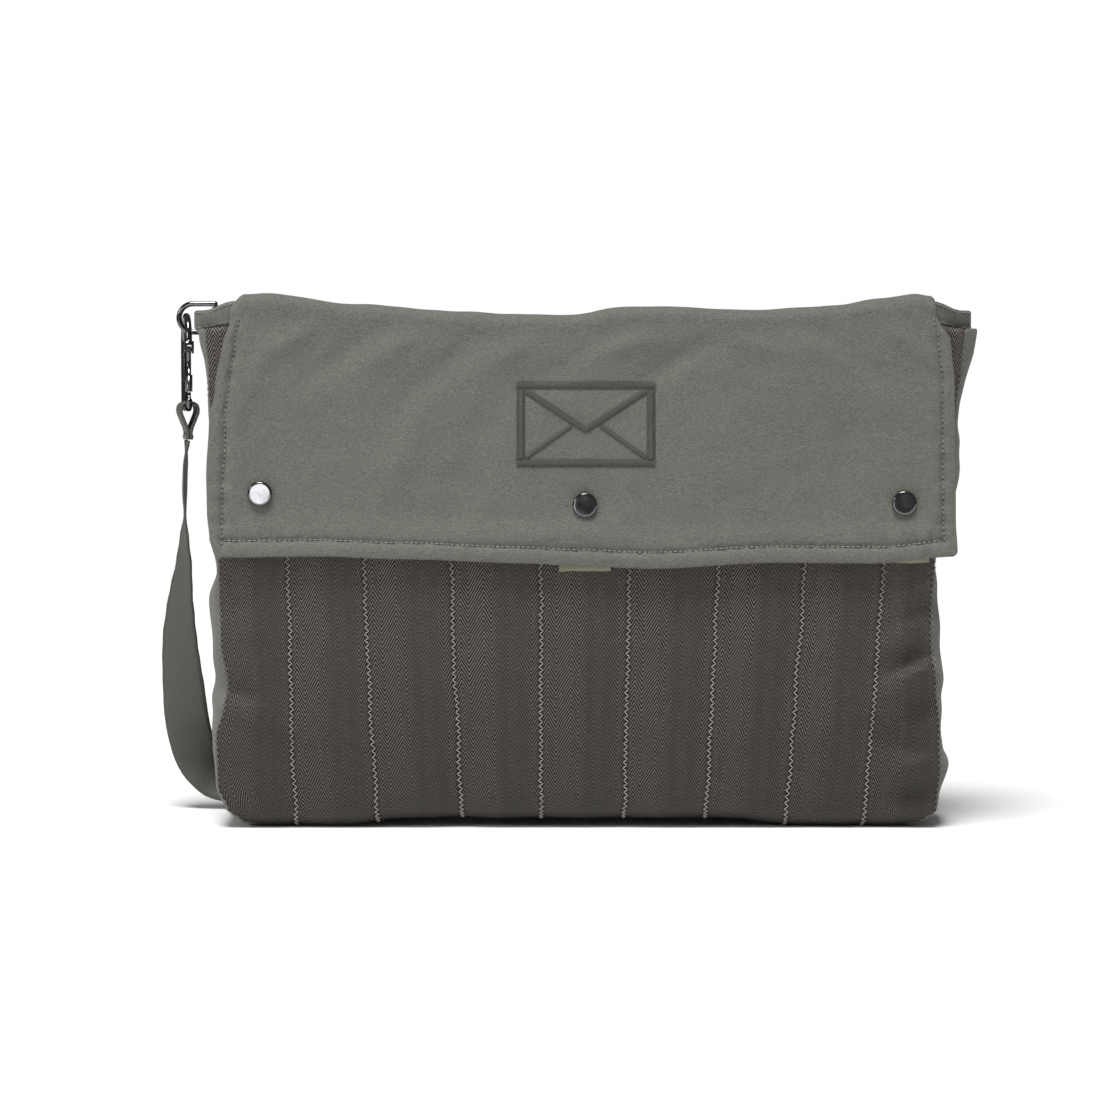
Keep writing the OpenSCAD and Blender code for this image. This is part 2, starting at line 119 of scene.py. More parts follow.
def ripple(x, y, seed):
    """Soft noise from about -1 to 1 at a place, one wave about 1 wide."""
    return noise.noise(Vector((x, y, seed)))


# The body's outline, seen end-on

RIM_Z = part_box("mouth_binding")[1].z - 0.5 * MM
TOP_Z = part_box("webbing_strip_5")[1].z
BASE_HALF = 33 * MM
TAPER = 6 * MM
BELLY = 6.5 * MM
BASE_R = 16 * MM


def half_depth(z):
    """Half of the body's depth at a height."""
    h = clamp(z / RIM_Z)
    return BASE_HALF - TAPER * h + BELLY * math.sin(math.pi * h)


BASE_FLAT = half_depth(BASE_R) - BASE_R
WALL_L = TOP_Z - BASE_R
BEND_L = math.pi / 2 * BASE_R
SECTION_L = 2 * (WALL_L + BEND_L + BASE_FLAT)


def section(s):
    """A point (y, z) of the end-on outline and its outward normal.

    s is the way along it in metres, from the front's top edge down, under the
    base and up the back.
    """
    back = s > SECTION_L / 2
    if back:
        s = SECTION_L - s
    if s < WALL_L:
        z = TOP_Z - s
        slope = (half_depth(z + MM) - half_depth(z - MM)) / (2 * MM)
        y, out = -half_depth(z), Vector((-1, -slope)).normalized()
    elif s < WALL_L + BEND_L:
        turn = (s - WALL_L) / BASE_R
        y = -BASE_FLAT - BASE_R * math.cos(turn)
        z = BASE_R - BASE_R * math.sin(turn)
        out = Vector((-math.cos(turn), -math.sin(turn)))
    else:
        y, z, out = -BASE_FLAT + s - WALL_L - BEND_L, 0, Vector((0, -1))
    if back:
        y, out.x = -y, -out.x
    return y, z, out


# The body, seen from the front: millimetres, as (height, place across)

LEFT_EDGE = [(0, -174), (3, -184), (10, -191), (22, -196), (50, -196.5), (66, -192), (78, -190),
             (100, -193.5), (139, -194.5), (190, -196), (240, -200), (270, -202)]
RIGHT_EDGE = [(0, 174), (3, 183), (9, 190), (30, 191.5), (60, 191), (75, 189), (104, 186),
              (141, 187.5), (165, 191), (195, 195), (225, 199), (245, 202), (270, 204)]
SEAM_TOP = [-158, -117, -70.5, -22.5, 25, 72.5, 119, 161]
SEAM_LOW = [-154.5, -110.5, -65, -22.5, 22, 66, 109, 151]
SEAM_LEVEL = 139
LEFT_BULGE = [(0, 1), (8, 3), (26, 3), (45, 5), (70, 11), (85, 10), (100, 7), (122, 9), (138, 4),
              (154, 8), (192, 5), (235, 2), (248, 4), (260, 6), (272, 6)]
RIGHT_BULGE = [(0, 1), (15, 3), (32, 9), (44, 4), (52, 2), (66, 4), (80, 7), (104, 9), (128, 5),
               (142, 3), (160, 7), (192, 9), (206, 8), (219, 4), (238, 6), (255, 10), (272, 11)]
# How far the mouth and the flap's top stand above their straight line
TOP_LINE = [(-190, -1.5), (-181, 5), (-170, 6), (-119, -0.2), (-70, -4.2), (-44, -5), (-8, -6), (20, -1.8),
            (45, -1.8), (75, -3), (98, -3), (137, -0.6), (160, 2.8), (178, 5.4), (186, 4.6), (190, 1)]
# Soft dents in the body's cloth: across, height, turn in degrees, length, width, depth
DENTS = [(-186, 74, -20, 16, 7, 3.2), (-176, 62, -25, 20, 7, -2.4), (-164, 50, -50, 18, 6, 1.6),
         (-186, 122, 15, 14, 9, 1.5), (-178, 108, -5, 16, 8, -1.3), (-60, 30, 70, 34, 12, 1.1),
         (183, 118, 35, 14, 8, 3.0), (174, 106, 35, 16, 6, -2.4), (178, 92, 20, 16, 6, 3.0),
         (174, 80, 30, 20, 6, -2.8), (182, 63, 40, 20, 7, 3.0), (182, 34, 20, 14, 6, -2.8),
         (170, 46, -20, 22, 7, 2.4), (176, 18, 10, 18, 6, 2.4), (110, 80, 80, 40, 12, 0.9),
         (130, 30, 75, 26, 9, 1.0), (20, 60, 85, 44, 14, 0.8)]


RIM_HALF = 178 * MM


def top_line(x, y):
    """How far the flap's top stands above its straight line; only its front edge peaks."""
    rise = along(TOP_LINE, x / MM) * MM
    return rise * (1 - smooth((y + 15 * MM) / (25 * MM))) if rise > 0 else rise


def rim_shift(x, y, z):
    """How far the mouth's own sag lifts or drops the cloth near it."""
    inside = clamp(x, -RIM_HALF, RIM_HALF)
    ear = smooth((abs(x / MM) - 182) / 20)
    return top_line(inside, y) * (1 - 0.6 * ear) * smooth((z - 215 * MM) / (60 * MM))


def edge_x(side, z):
    """The seam between the strips and a side panel, at a height."""
    return along(LEFT_EDGE if side < 0 else RIGHT_EDGE, z / MM) * MM


def seam_x(i, z):
    """Across to strip seam i, 0 to 9, where 0 and 9 are the side seams."""
    if i in (0, 9):
        return edge_x(-1 if i == 0 else 1, z)
    low, top = SEAM_LOW[i - 1] * MM, SEAM_TOP[i - 1] * MM
    wander = 1.1 * MM * ripple(z / (24 * MM), i, 4.2) + 0.5 * MM * ripple(z / (9 * MM), i, 8.1)
    return low + (top - low) * clamp(z / (SEAM_LEVEL * MM)) + wander * smooth(z / (12 * MM))


def dents(x, z):
    """The depth of the body's own dents and soft folds, in metres."""
    depth = 0
    for cx, cz, turn, length, width, deep in DENTS:
        dx, dz = x / MM - cx, z / MM - cz
        if abs(dx) > 3 * length or abs(dz) > 3 * length:
            continue
        c, s = math.cos(math.radians(turn)), math.sin(math.radians(turn))
        depth += 1.5 * deep * bell(dx * c + dz * s, length) * bell(dz * c - dx * s, width)
    return depth * MM


BODY_CORE = (0, 0, 0.14)


def body_point(x, s, raised=0.0):
    """A point on the body's skin, with its sag and dents, raised outwards."""
    y, z, out = section(s)
    front = s < SECTION_L / 2
    waves = 1.3 * MM * ripple(x / (60 * MM), z / (80 * MM), 1.7 if front else 9.3)
    waves += 0.5 * MM * ripple(x / (22 * MM), z / (34 * MM), 3.9 if front else 6.1)
    calm = smooth((225 * MM - z) / (80 * MM)) * smooth(z / (14 * MM))
    push = raised + calm * waves - (dents(x, z) if front else 0.6 * dents(-x, z))
    lift = 4 * MM * smooth((x + 125 * MM) / (30 * MM)) * smooth((112 * MM - x) / (30 * MM))
    z_set = z + lift * (1 - clamp(z / (70 * MM))) ** 2 + rim_shift(x, y, z)
    return Vector((x, y + out.x * push, z_set + out.y * push))


# Making pieces


def in_scene(name, mesh, material, *modifiers):
    """A new object for a mesh, with its material; modifiers are (kind, settings) pairs."""
    piece = bpy.data.objects.new(name, mesh)
    bpy.context.collection.objects.link(piece)
    mesh.materials.append(material)
    for kind, settings in modifiers:
        change = piece.modifiers.new(kind.title(), kind)
        for key, value in settings.items():
            setattr(change, key, value)
    return piece


def thick(thickness, offset=-1.0):
    return ("SOLIDIFY", {"thickness": thickness, "offset": offset})


def rounded(levels=1):
    return ("SUBSURF", {"levels": levels, "render_levels": levels})


def cloth_mesh(name, columns, rows, place, measure, away_from=None, closed=False):
    """A sheet of quads whose u and v run from 0 to 1, laid out by two rules.

    place gives each corner's point, and measure its place on the flat cloth.
    Its faces look away from the point away_from.
    """
    sheet = bmesh.new()
    flat = sheet.loops.layers.uv.new("cloth")
    bmesh.ops.create_grid(sheet, x_segments=columns, y_segments=rows, size=0.5)
    spots = {corner: (corner.co.x + 0.5, corner.co.y + 0.5) for corner in sheet.verts}
    for face in sheet.faces:
        face.smooth = True
        for loop in face.loops:
            loop[flat].uv = measure(*spots[loop.vert])
    for corner, (u, v) in spots.items():
        corner.co = place(u, v)
    if closed:
        bmesh.ops.remove_doubles(sheet, verts=sheet.verts, dist=0.01 * MM)
    sheet.normal_update()
    if away_from is not None:
        centre = Vector(away_from)
        facing = sum((f.calc_center_median() - centre).dot(f.normal) * f.calc_area() for f in sheet.faces)
        if facing < 0:
            bmesh.ops.reverse_faces(sheet, faces=sheet.faces)
    elif closed:
        bmesh.ops.recalc_face_normals(sheet, faces=sheet.faces)
    mesh = bpy.data.meshes.new(name)
    sheet.to_mesh(mesh)
    sheet.free()
    return mesh


def sewn(name, columns, rows, place, size, kind, *modifiers, away_from=None, closed=False):
    """A cloth piece with its finish; size is the flat cloth's width and length."""
    mesh = cloth_mesh(name, columns, rows, place, lambda u, v: (size[0] * u, size[1] * v), away_from, closed)
    return in_scene(name, mesh, finish(kind), *modifiers)


def thread(name, runs, radius, material):
    """Sewing thread as one mesh, along lists of points."""
    line = bpy.data.curves.new(name, "CURVE")
    line.dimensions = "3D"
    line.bevel_depth = radius
    line.bevel_resolution = 0
    line.use_fill_caps = True
    for points in runs:
        run = line.splines.new("POLY")
        run.points.add(len(points) - 1)
        for spot, point in zip(run.points, points):
            spot.co = (*point, 1)
    drawn = bpy.data.objects.new(name, line)
    bpy.context.collection.objects.link(drawn)
    graph = bpy.context.evaluated_depsgraph_get()
    mesh = bpy.data.meshes.new_from_object(drawn.evaluated_get(graph))
    bpy.data.objects.remove(drawn)
    bpy.data.curves.remove(line)
    mesh.materials.clear()
    mesh.shade_smooth()
    return in_scene(name, mesh, material)


def goes(piece, body, slot, *nodes):
    """A piece rides on a body and stands for some nodes; slot is not used."""
    if body:
        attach(piece, body)
    if nodes:
        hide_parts(*nodes)
    return piece


def polished(node, body, material):
    """A smooth-shaded copy of a metal node that stands for it."""
    metal = bmesh.new()
    metal.from_mesh(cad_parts[node].data)
    bmesh.ops.remove_doubles(metal, verts=metal.verts, dist=0.001 * MM)
    for face in metal.faces:
        face.smooth = True
    mesh = bpy.data.meshes.new(f"{node}_metal")
    metal.to_mesh(mesh)
    metal.free()
    mesh.materials.clear()
    mesh.set_sharp_from_angle(angle=math.radians(35))
    return goes(in_scene(f"{node}_metal", mesh, material), body, "black_nickel", node)


# Materials


def add(tree, kind, settings=None, **inputs):
    """A shader node with its settings, and its inputs linked or set."""
    made = tree.nodes.new(kind)
    for key, value in (settings or {}).items():
        setattr(made, key, value)
    for key, value in inputs.items():
        socket = made.inputs[int(key[1:])] if key[1:].isdigit() else made.inputs[key.replace("_", " ")]
        if isinstance(value, bpy.types.NodeSocket):
            tree.links.new(value, socket)
        else:
            socket.default_value = value
    return made


def sums(tree, how, first, second=0.0):
    return add(tree, "ShaderNodeMath", {"operation": how}, _0=first, _1=second).outputs[0]


def times(tree, first, second):
    return sums(tree, "MULTIPLY", first, second)


def plus(tree, first, second):
    return sums(tree, "ADD", first, second)


def mixed(tree, share, first, second, how="MIX"):
    mix = add(tree, "ShaderNodeMix", {"data_type": "RGBA", "blend_type": how}, _0=share)
    for socket, value in ((mix.inputs[6], first), (mix.inputs[7], second)):
        if isinstance(value, bpy.types.NodeSocket):
            tree.links.new(value, socket)
        else:
            socket.default_value = (*value[:3], 1)
    return mix.outputs[2]


def ramp(tree, at, stops):
    """A ColorRamp of grey levels or colours, from (place, level) pairs."""
    made = add(tree, "ShaderNodeValToRGB", _0=at)
    spots = made.color_ramp.elements
    while len(spots) < len(stops):
        spots.new(0.5)
    for spot, (place, level) in zip(spots, stops):
        spot.position = place
        spot.color = (*level, 1) if isinstance(level, tuple) else (level, level, level, 1)
    return made.outputs[0]


def shader(name):
    """A new node material: its tree, its main shader and its Object coordinates."""
    material = bpy.data.materials.new(name)
    material.use_nodes = True
    tree = material.node_tree
    main_shader = tree.nodes["Principled BSDF"]
    return material, tree, main_shader, add(tree, "ShaderNodeTexCoord").outputs["Object"]


def grain(tree, coords, scale, detail=2.0, rough=0.5):
    return add(tree, "ShaderNodeTexNoise", Vector=coords, Scale=scale, Detail=detail,
               Roughness=rough).outputs["Fac"]


def relief(tree, height, distance, strength=1.0, under=None):
    bump = add(tree, "ShaderNodeBump", Strength=strength, Distance=distance, Height=height)
    if under is not None:
        tree.links.new(under, bump.inputs["Normal"])
    return bump.outputs[0]


def cloth_finish(name, colour):
    """Matte nylon: a fine twill grain, a soft sheen and slow changes of tone."""
    weave = 0.55
    material, tree, main_shader, coords = shader(name)
    main_shader.inputs["Roughness"].default_value = 0.82
    main_shader.inputs["Sheen Weight"].default_value = 0.12
    main_shader.inputs["Sheen Roughness"].default_value = 0.5
    main_shader.inputs["Specular IOR Level"].default_value = 0.25
    turned = add(tree, "ShaderNodeMapping", Vector=coords, Rotation=(0, math.radians(38), 0),
                 Scale=(1, 1, 2.6)).outputs[0]
    twill = ramp(tree, grain(tree, turned, 740, 3), [(0.32, 0.0), (0.68, 1.0)])
    fine = grain(tree, coords, 1700, 2)
    blotch = ramp(tree, grain(tree, coords, 95, 4, 0.6), [(0.35, 0.0), (0.65, 1.0)])
    slow = ramp(tree, grain(tree, coords, 16, 3), [(0.35, 0.0), (0.65, 1.0)])
    tone = mixed(tree, twill, tint(colour, 0.42), tint(colour, 1.6))
    speck = ramp(tree, fine, [(0.3, 0.0), (0.7, 1.0)])
    tone = mixed(tree, 0.45, tone, mixed(tree, speck, tint(colour, 0.55), tint(colour, 1.45)))
    patch = mixed(tree, blotch, tint(colour, 0.84), tint(colour, 1.16))
    tone = mixed(tree, 0.28, tone, mixed(tree, slow, patch, tint(colour, 1.06)))
    tree.links.new(tone, main_shader.inputs["Base Color"])
    creases = relief(tree, grain(tree, coords, 70, 4, 0.55), 1.6 * MM, 0.6)
    tree.links.new(relief(tree, fine, 0.15 * MM, weave, relief(tree, twill, 0.3 * MM, weave, creases)),
                   main_shader.inputs["Normal"])
    return material


def webbing_finish(name, brown, green):
    """Satin herringbone: ribs that turn at uneven columns, in two tones a strip, with a painted highlight on
    the rib crests, painted shade in the gaps between them and painted shade towards the bottom.

    The flat cloth's u is the strip's number plus the share across it, and v is
    metres along it.
    """
    material, tree, main_shader, coords = shader(name)
    main_shader.inputs["Specular IOR Level"].default_value = 0.32
    main_shader.inputs["Sheen Weight"].default_value = 0.03
    flat = add(tree, "ShaderNodeUVMap", {"uv_map": "cloth"}).outputs[0]
    parts = add(tree, "ShaderNodeSeparateXYZ", Vector=flat)
    share = sums(tree, "FRACT", parts.outputs[0])
    turns = [(0, 0), (0.087, 0.5), (0.174, 0), (0.35, 1), (0.435, 0.5), (0.52, 1), (0.62, 0.43),
             (0.72, 1), (0.89, 0.03), (1, 0.66)]
    chevron = ramp(tree, share, turns)
    rib_pitch, row_pitch, yarns = 2.45 * MM, 1.15 * MM, 44
    wander = times(tree, grain(tree, coords, 60, 2), 1.6 * MM)
    climb = times(tree, chevron, 13.76 * MM)
    height = plus(tree, plus(tree, parts.outputs[1], climb), wander)
    wave = sums(tree, "SINE", times(tree, height, 2 * math.pi / rib_pitch))
    rib = ramp(tree, plus(tree, times(tree, wave, 0.5), 0.5), [(0.1, 0.0), (0.75, 1.0)])
    cross = sums(tree, "SINE", times(tree, share, 2 * math.pi * yarns))
    yarn = times(tree, plus(tree, cross, 1.0), 0.5)
    rows = sums(tree, "SINE", times(tree, parts.outputs[1], 2 * math.pi / row_pitch))
    cool = ramp(tree, plus(tree, share, times(tree, grain(tree, coords, 22, 2), 0.16)),
                [(0.02, 0.35), (0.16, 0.0), (0.5, 0.0), (0.6, 1.0), (0.86, 1.0), (1.0, 0.25)])
    tone = mixed(tree, cool, brown, green)
    tone = mixed(tree, times(tree, plus(tree, rows, 1.0), times(tree, cool, 0.16)),
                 tone, tint(green, 2.0))
    # From here the rib crests get a painted highlight (lift is its mask, lit the highlighted tone) and the
    # gaps between ribs get painted shade; strong and these noises make that painted light uneven
    rib_highlight_fleck = ramp(tree, grain(tree, coords, 620, 3, 0.7), [(0.3, 0.5), (0.7, 1.0)])
    strong = sums(tree, "SUBTRACT", 1.0, times(tree, cool, 0.5))
    uneven_rib_light = ramp(tree, grain(tree, coords, 30, 3), [(0.35, 0.75), (0.6, 1.0)])
    strong = times(tree, strong, uneven_rib_light)
    lift = times(tree, times(tree, rib, rib_highlight_fleck), strong)
    lift = times(tree, lift, plus(tree, 0.7, times(tree, yarn, 0.3)))
    lit = mixed(tree, lift, tone, tint(brown, 5.6))
    # Painted shade in the gaps between the ribs
    gap = times(tree, sums(tree, "SUBTRACT", 1.0, rib), strong)
    tone = mixed(tree, gap, lit, tint(green, 0.04))
    # Painted shade: the whole webbing is made darker towards the bottom
    low = ramp(tree, sums(tree, "DIVIDE", add(tree, "ShaderNodeSeparateXYZ", Vector=coords).outputs[2], 0.15),
               [(0, 0.5), (0.75, 0.78), (1, 0.92)])
    tree.links.new(mixed(tree, 1.0, tone, low, "MULTIPLY"), main_shader.inputs["Base Color"])
    tree.links.new(ramp(tree, rib, [(0, 0.62), (1, 0.44)]), main_shader.inputs["Roughness"])
    threads = relief(tree, yarn, 0.12 * MM, 0.5)
    tree.links.new(relief(tree, times(tree, rib, strong), 0.6 * MM, 1.0, threads),
                   main_shader.inputs["Normal"])
    return material


def strap_finish(name, colour):
    """Plain ribbed webbing: fine ribs that lean a little, crossed by lines along it."""
    material, tree, main_shader, coords = shader(name)
    main_shader.inputs["Specular IOR Level"].default_value = 0.4
    main_shader.inputs["Roughness"].default_value = 0.6
    flat = add(tree, "ShaderNodeUVMap", {"uv_map": "cloth"}).outputs[0]
    parts = add(tree, "ShaderNodeSeparateXYZ", Vector=flat)
    lean = times(tree, parts.outputs[0], 0.6)
    rows = sums(tree, "SINE", times(tree, plus(tree, parts.outputs[1], lean),
                                   2 * math.pi / (1.5 * MM)))
    lines = sums(tree, "SINE", times(tree, parts.outputs[0], 2 * math.pi / (1.6 * MM)))
    rib = times(tree, plus(tree, plus(tree, rows, lines), 2.0), 0.25)
    spots = grain(tree, coords, 900, 2)
    tone = mixed(tree, rib, tint(colour, 0.66), tint(colour, 1.25))
    tree.links.new(mixed(tree, times(tree, spots, 0.4), tone, colour),
                   main_shader.inputs["Base Color"])
    tree.links.new(relief(tree, rib, 0.25 * MM, 0.7), main_shader.inputs["Normal"])
    return material


def thread_finish(name, colour):
    """Twisted polyester thread."""
    material, tree, main_shader, coords = shader(name)
    main_shader.inputs["Roughness"].default_value = 0.5
    tone = mixed(tree, grain(tree, coords, 900, 1), tint(colour, 0.75),
                 tint(colour, 1.2))
    tree.links.new(tone, main_shader.inputs["Base Color"])
    return material


def nickel_finish(name, colour, rough=0.07):
    """Black nickel plate with faint wear."""
    material, tree, main_shader, coords = shader(name)
    main_shader.inputs["Metallic"].default_value = 1.0
    wear = ramp(tree, grain(tree, coords, 160, 4), [(0.35, rough), (0.75, rough + 0.14)])
    tree.links.new(wear, main_shader.inputs["Roughness"])
    tone = mixed(tree, grain(tree, coords, 90, 3), tint(colour, 0.85),
                 tint(colour, 1.2))
    tree.links.new(tone, main_shader.inputs["Base Color"])
    tree.links.new(relief(tree, grain(tree, coords, 500, 2), 0.01 * MM, 0.15),
                   main_shader.inputs["Normal"])
    return material


def plain_weave_finish(name, colour):
    """Thin lining cloth, over and under."""
    material, tree, main_shader, coords = shader(name)
    main_shader.inputs["Roughness"].default_value = 0.7
    main_shader.inputs["Sheen Weight"].default_value = 0.1
    check = add(tree, "ShaderNodeTexChecker", Vector=coords, Scale=1400).outputs["Fac"]
    tone = mixed(tree, times(tree, check, 0.5), tint(colour, 0.85),
                 tint(colour, 1.2))
    tree.links.new(tone, main_shader.inputs["Base Color"])
    tree.links.new(relief(tree, grain(tree, coords, 60, 3), 0.8 * MM, 0.4),
                   main_shader.inputs["Normal"])
    return material


def foam_finish(name, colour):
    """Open-cell foam."""
    material, tree, main_shader, coords = shader(name)
    main_shader.inputs["Roughness"].default_value = 0.95
    cells = add(tree, "ShaderNodeTexVoronoi", Vector=coords, Scale=900).outputs["Distance"]
    tone = mixed(tree, cells, tint(colour, 0.7), colour)
    tree.links.new(tone, main_shader.inputs["Base Color"])
    tree.links.new(relief(tree, cells, 0.4 * MM, 0.6), main_shader.inputs["Normal"])
    return material


def tape_finish(name, colour):
    """Folded grosgrain tape with ribs across it."""
    material, tree, main_shader, coords = shader(name)
    main_shader.inputs["Roughness"].default_value = 0.7
    parts = add(tree, "ShaderNodeSeparateXYZ", Vector=coords)
    rib = sums(tree, "SINE", times(tree, parts.outputs[0], 2 * math.pi / (0.9 * MM)))
    share = times(tree, plus(tree, rib, 1.0), 0.5)
    tone = mixed(tree, share, tint(colour, 0.7), colour)
    tree.links.new(tone, main_shader.inputs["Base Color"])
    tree.links.new(relief(tree, share, 0.2 * MM, 0.5), main_shader.inputs["Normal"])
    return material


def finish(kind):
    """The material of one finish, made the first time it is asked for."""
    ready = bpy.data.materials.get(kind)
    if ready:
        return ready
    looks = bpy.context.scene.mail_bag
    makers = {
        "flap cloth": lambda: cloth_finish(kind, tuple(looks.cloth)),
        "body webbing": lambda: webbing_finish(kind, tuple(looks.webbing_brown), tuple(looks.webbing_green)),
        "strap webbing": lambda: strap_finish(kind, tuple(looks.strap)),
        "seam thread": lambda: thread_finish(kind, tuple(looks.seam_thread)),
        "topstitch thread": lambda: thread_finish(kind, tuple(looks.topstitch)),
        # Painted shade: a near-black thread colour for the shade in the needle holes
        "stitch shade thread": lambda: thread_finish(kind, tint(looks.cloth, 0.16)),
        "badge thread": lambda: thread_finish(kind, tuple(looks.badge)),
        "black nickel": lambda: nickel_finish(kind, tuple(looks.nickel)),
        "spring wire": lambda: nickel_finish(kind, (0.5, 0.5, 0.5), 0.25),
        "lining cloth": lambda: plain_weave_finish(kind, tuple(looks.lining)),
        "foam": lambda: foam_finish(kind, tuple(looks.foam)),
        "stud tape": lambda: tape_finish(kind, tuple(looks.tape)),
    }
    return makers[kind]()


def colour_property(title, about, *default):
    return FloatVectorProperty(name=title, description=about, default=shade(*default),
                               subtype="COLOR", size=3, min=0, max=1)


def length_property(title, about, default):
    return FloatProperty(name=title, description=about, default=default * MM, unit="LENGTH", min=0)


class MailBagSettings(bpy.types.PropertyGroup):
    """Sizes and colours of the bag that a user would change."""

    puff: length_property("Strip swell", "How far each webbing strip swells between its seams", 1.1)
    zig_pitch: length_property("Zigzag pitch", "Length of one zigzag stitch of a strip seam", 3.5)
    zig_width: length_property("Zigzag width", "Width of the zigzag over a strip seam", 2.05)
    hem: length_property("Hem", "From the flap's edge to its topstitch", 9)
    stitch: length_property("Stitch", "Length of one topstitch with its gap", 2.7)
    cloth: colour_property("Cloth", "Colour of the flap, side panels and hem", 101, 102, 95)
    webbing_brown: colour_property("Webbing, warm", "Warm half of each webbing strip", 64, 58, 54)
    webbing_green: colour_property("Webbing, cool", "Cool half of each webbing strip", 52, 52, 47)
    strap: colour_property("Strap", "Colour of the shoulder strap", 80, 79, 74)
    seam_thread: colour_property("Seam thread", "Thread of the zigzag seams", 168, 163, 153)
    topstitch: colour_property("Topstitch", "Thread of the flap's hem", 138, 136, 128)
    badge: colour_property("Badge thread", "Thread of the envelope sewn on the flap", 82, 82, 78)
    nickel: colour_property("Nickel", "Colour of the plated metal", 104, 103, 105)
    lining: colour_property("Lining", "Colour of the lining cloth", 66, 66, 63)
    foam: colour_property("Foam", "Colour of the padding", 205, 203, 190)
    tape: colour_property("Tape", "Colour of the stud tabs", 138, 134, 112)


# Flap

FOLD_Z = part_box("flap_top_shell")[1].z
LIFT_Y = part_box("flap_anchor")[1].y
FOLD_AXIS_Y = -33.2 * MM
FOLD_R = 7 * MM
FLAP_OUT = 6.2 * MM
FLAP_T = 3.2 * MM
FLAP_CORE = (0, 0.02, 0.19)
FLAP_HALF = 198 * MM
FLAP_TOP_HALF = 188.5 * MM
TOP_SEAM_Y = 9 * MM
# The flap's sides and lower edge, as (height, place across) and the reverse
FLAP_LEFT = [(143, -192.5), (146, -195.6), (150, -197.4), (156, -199.2), (170, -200.6), (190, -201),
             (218, -199.6), (237, -196.3), (262, -192.5), (275, -190), (285, -188.5)]
# How wide the hem looks up each side
LEFT_HEM = [(150, 6.3), (172, 8.5), (200, 9.5), (236, 7.5), (290, 6.5)]
RIGHT_HEM = [(150, 7), (290, 6.8)]
FLAP_RIGHT = [(145, 196), (149, 199.5), (166, 198.8), (237, 198.4), (262, 196.5), (272, 194),
              (280, 191), (286, 188.5)]
FLAP_LOW = [(-200, 146), (-187, 146), (-143, 146.5), (-96, 145), (-33, 142.8), (0, 141.2), (35, 140),
            (103, 143.2), (157, 142.8), (200, 146.5)]
# Soft folds in the flap: across, height, turn in degrees, length, width, height of the fold
FOLDS = [(-150, 266, 35, 26, 5, 1.4), (-128, 254, 38, 30, 6, -1.3), (-96, 262, 40, 30, 6, 1.5),
         (-70, 252, 42, 34, 7, -1.4), (-30, 262, 38, 30, 6, 1.4), (-8, 250, 30, 30, 7, -1.3),
         (30, 262, 20, 26, 5, 1.8), (52, 252, 30, 32, 6, -1.6), (86, 262, -20, 28, 5, 1.3),
         (120, 262, -30, 30, 6, 1.6), (144, 252, -34, 32, 6, -1.4), (172, 262, -40, 22, 5, 1.5),
         (-176, 240, 70, 26, 6, 1.0), (-96, 200, 65, 40, 9, 1.1), (-60, 196, 70, 36, 9, -1.0),
         (80, 196, -62, 40, 10, 1.1), (140, 200, 80, 36, 9, -1.0), (-140, 205, -70, 36, 9, -1.0),
         (0, 160, 5, 60, 9, 0.8)]

# Where the flap's columns and rows of quads lie: close together at the hem and the fold
FLAP_COLUMNS = [(0, 0), (0.16, 0.045), (0.84, 0.955), (1, 1)]
FLAP_ROWS = [(0, 0), (0.1, 0.18), (0.25, 0.28), (0.75, 0.9), (1, 1)]


def flap_low(x):
    return along(FLAP_LOW, x / MM) * MM


def flap_edge(side, z):
    return along(FLAP_LEFT if side < 0 else FLAP_RIGHT, z / MM) * MM


def side_hem(side, z):
    return along(LEFT_HEM if side < 0 else RIGHT_HEM, z / MM) * MM


def flap_relief(x, z, hem):
    """How far the flap's cloth stands off its plain face: folds, hem and puckers."""
    height = 1.2 * MM * ripple(x / (55 * MM), z / (45 * MM), 2.3)
    height += 0.5 * MM * ripple(x / (19 * MM), z / (17 * MM), 5.9)
    height += 0.3 * MM * ripple(x / (8 * MM), z / (11 * MM), 1.9)
    for cx, cz, turn, length, width, high in FOLDS:
        dx, dz = x / MM - cx, z / MM - cz
        if abs(dx) > 2.6 * length or abs(dz) > 2.6 * length:
            continue
        c, s = math.cos(math.radians(turn)), math.sin(math.radians(turn))
        height += 1.35 * high * MM * bell(dx * c + dz * s, length) * bell(dz * c - dx * s, width)
    side = min((x - flap_edge(-1, z)) * hem / side_hem(-1, z), (flap_edge(1, z) - x) * hem / side_hem(1, z))
    below = z - flap_low(x)
    edge = max(0.0, min(side, below))
    run = z if side < below else x
    height *= smooth(edge / (2 * hem))
    height += 2.6 * MM * smooth((168 * MM - z) / (24 * MM))
    height += 0.7 * MM * math.sin(math.pi * clamp(edge / hem)) - 1.0 * MM * bell(edge - hem, 1.5 * MM)
    height += 0.6 * MM * bell(edge - 1.75 * hem, 0.55 * hem)
    pucker = ripple(run / (5.2 * MM), 0.3, 7.7) + 0.7 * ripple(run / (2.6 * MM), 0.9, 3.1)
    height += 1.2 * MM * pucker * bell(edge - hem, 5.5 * MM)
    for _, cap in SNAPS:
        height -= 0.9 * MM * bell((Vector((x, z)) - Vector((cap.x, cap.z))).length, 11 * MM)
    return height


def snap_places():
    """Each snap's name and the middle of its cap."""
    found = []
    for name in ("left", "middle", "right"):
        low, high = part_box(f"{name}_snap_cap")
        found.append((name, (low + high) / 2))
    return found


SNAPS = snap_places()


def flap_front(x, z, hem, raised=0.0):
    """A point on the flap's front face."""
    out = flap_relief(x, z, hem) + raised
    return Vector((x, -(half_depth(z) + FLAP_OUT) - out, z))


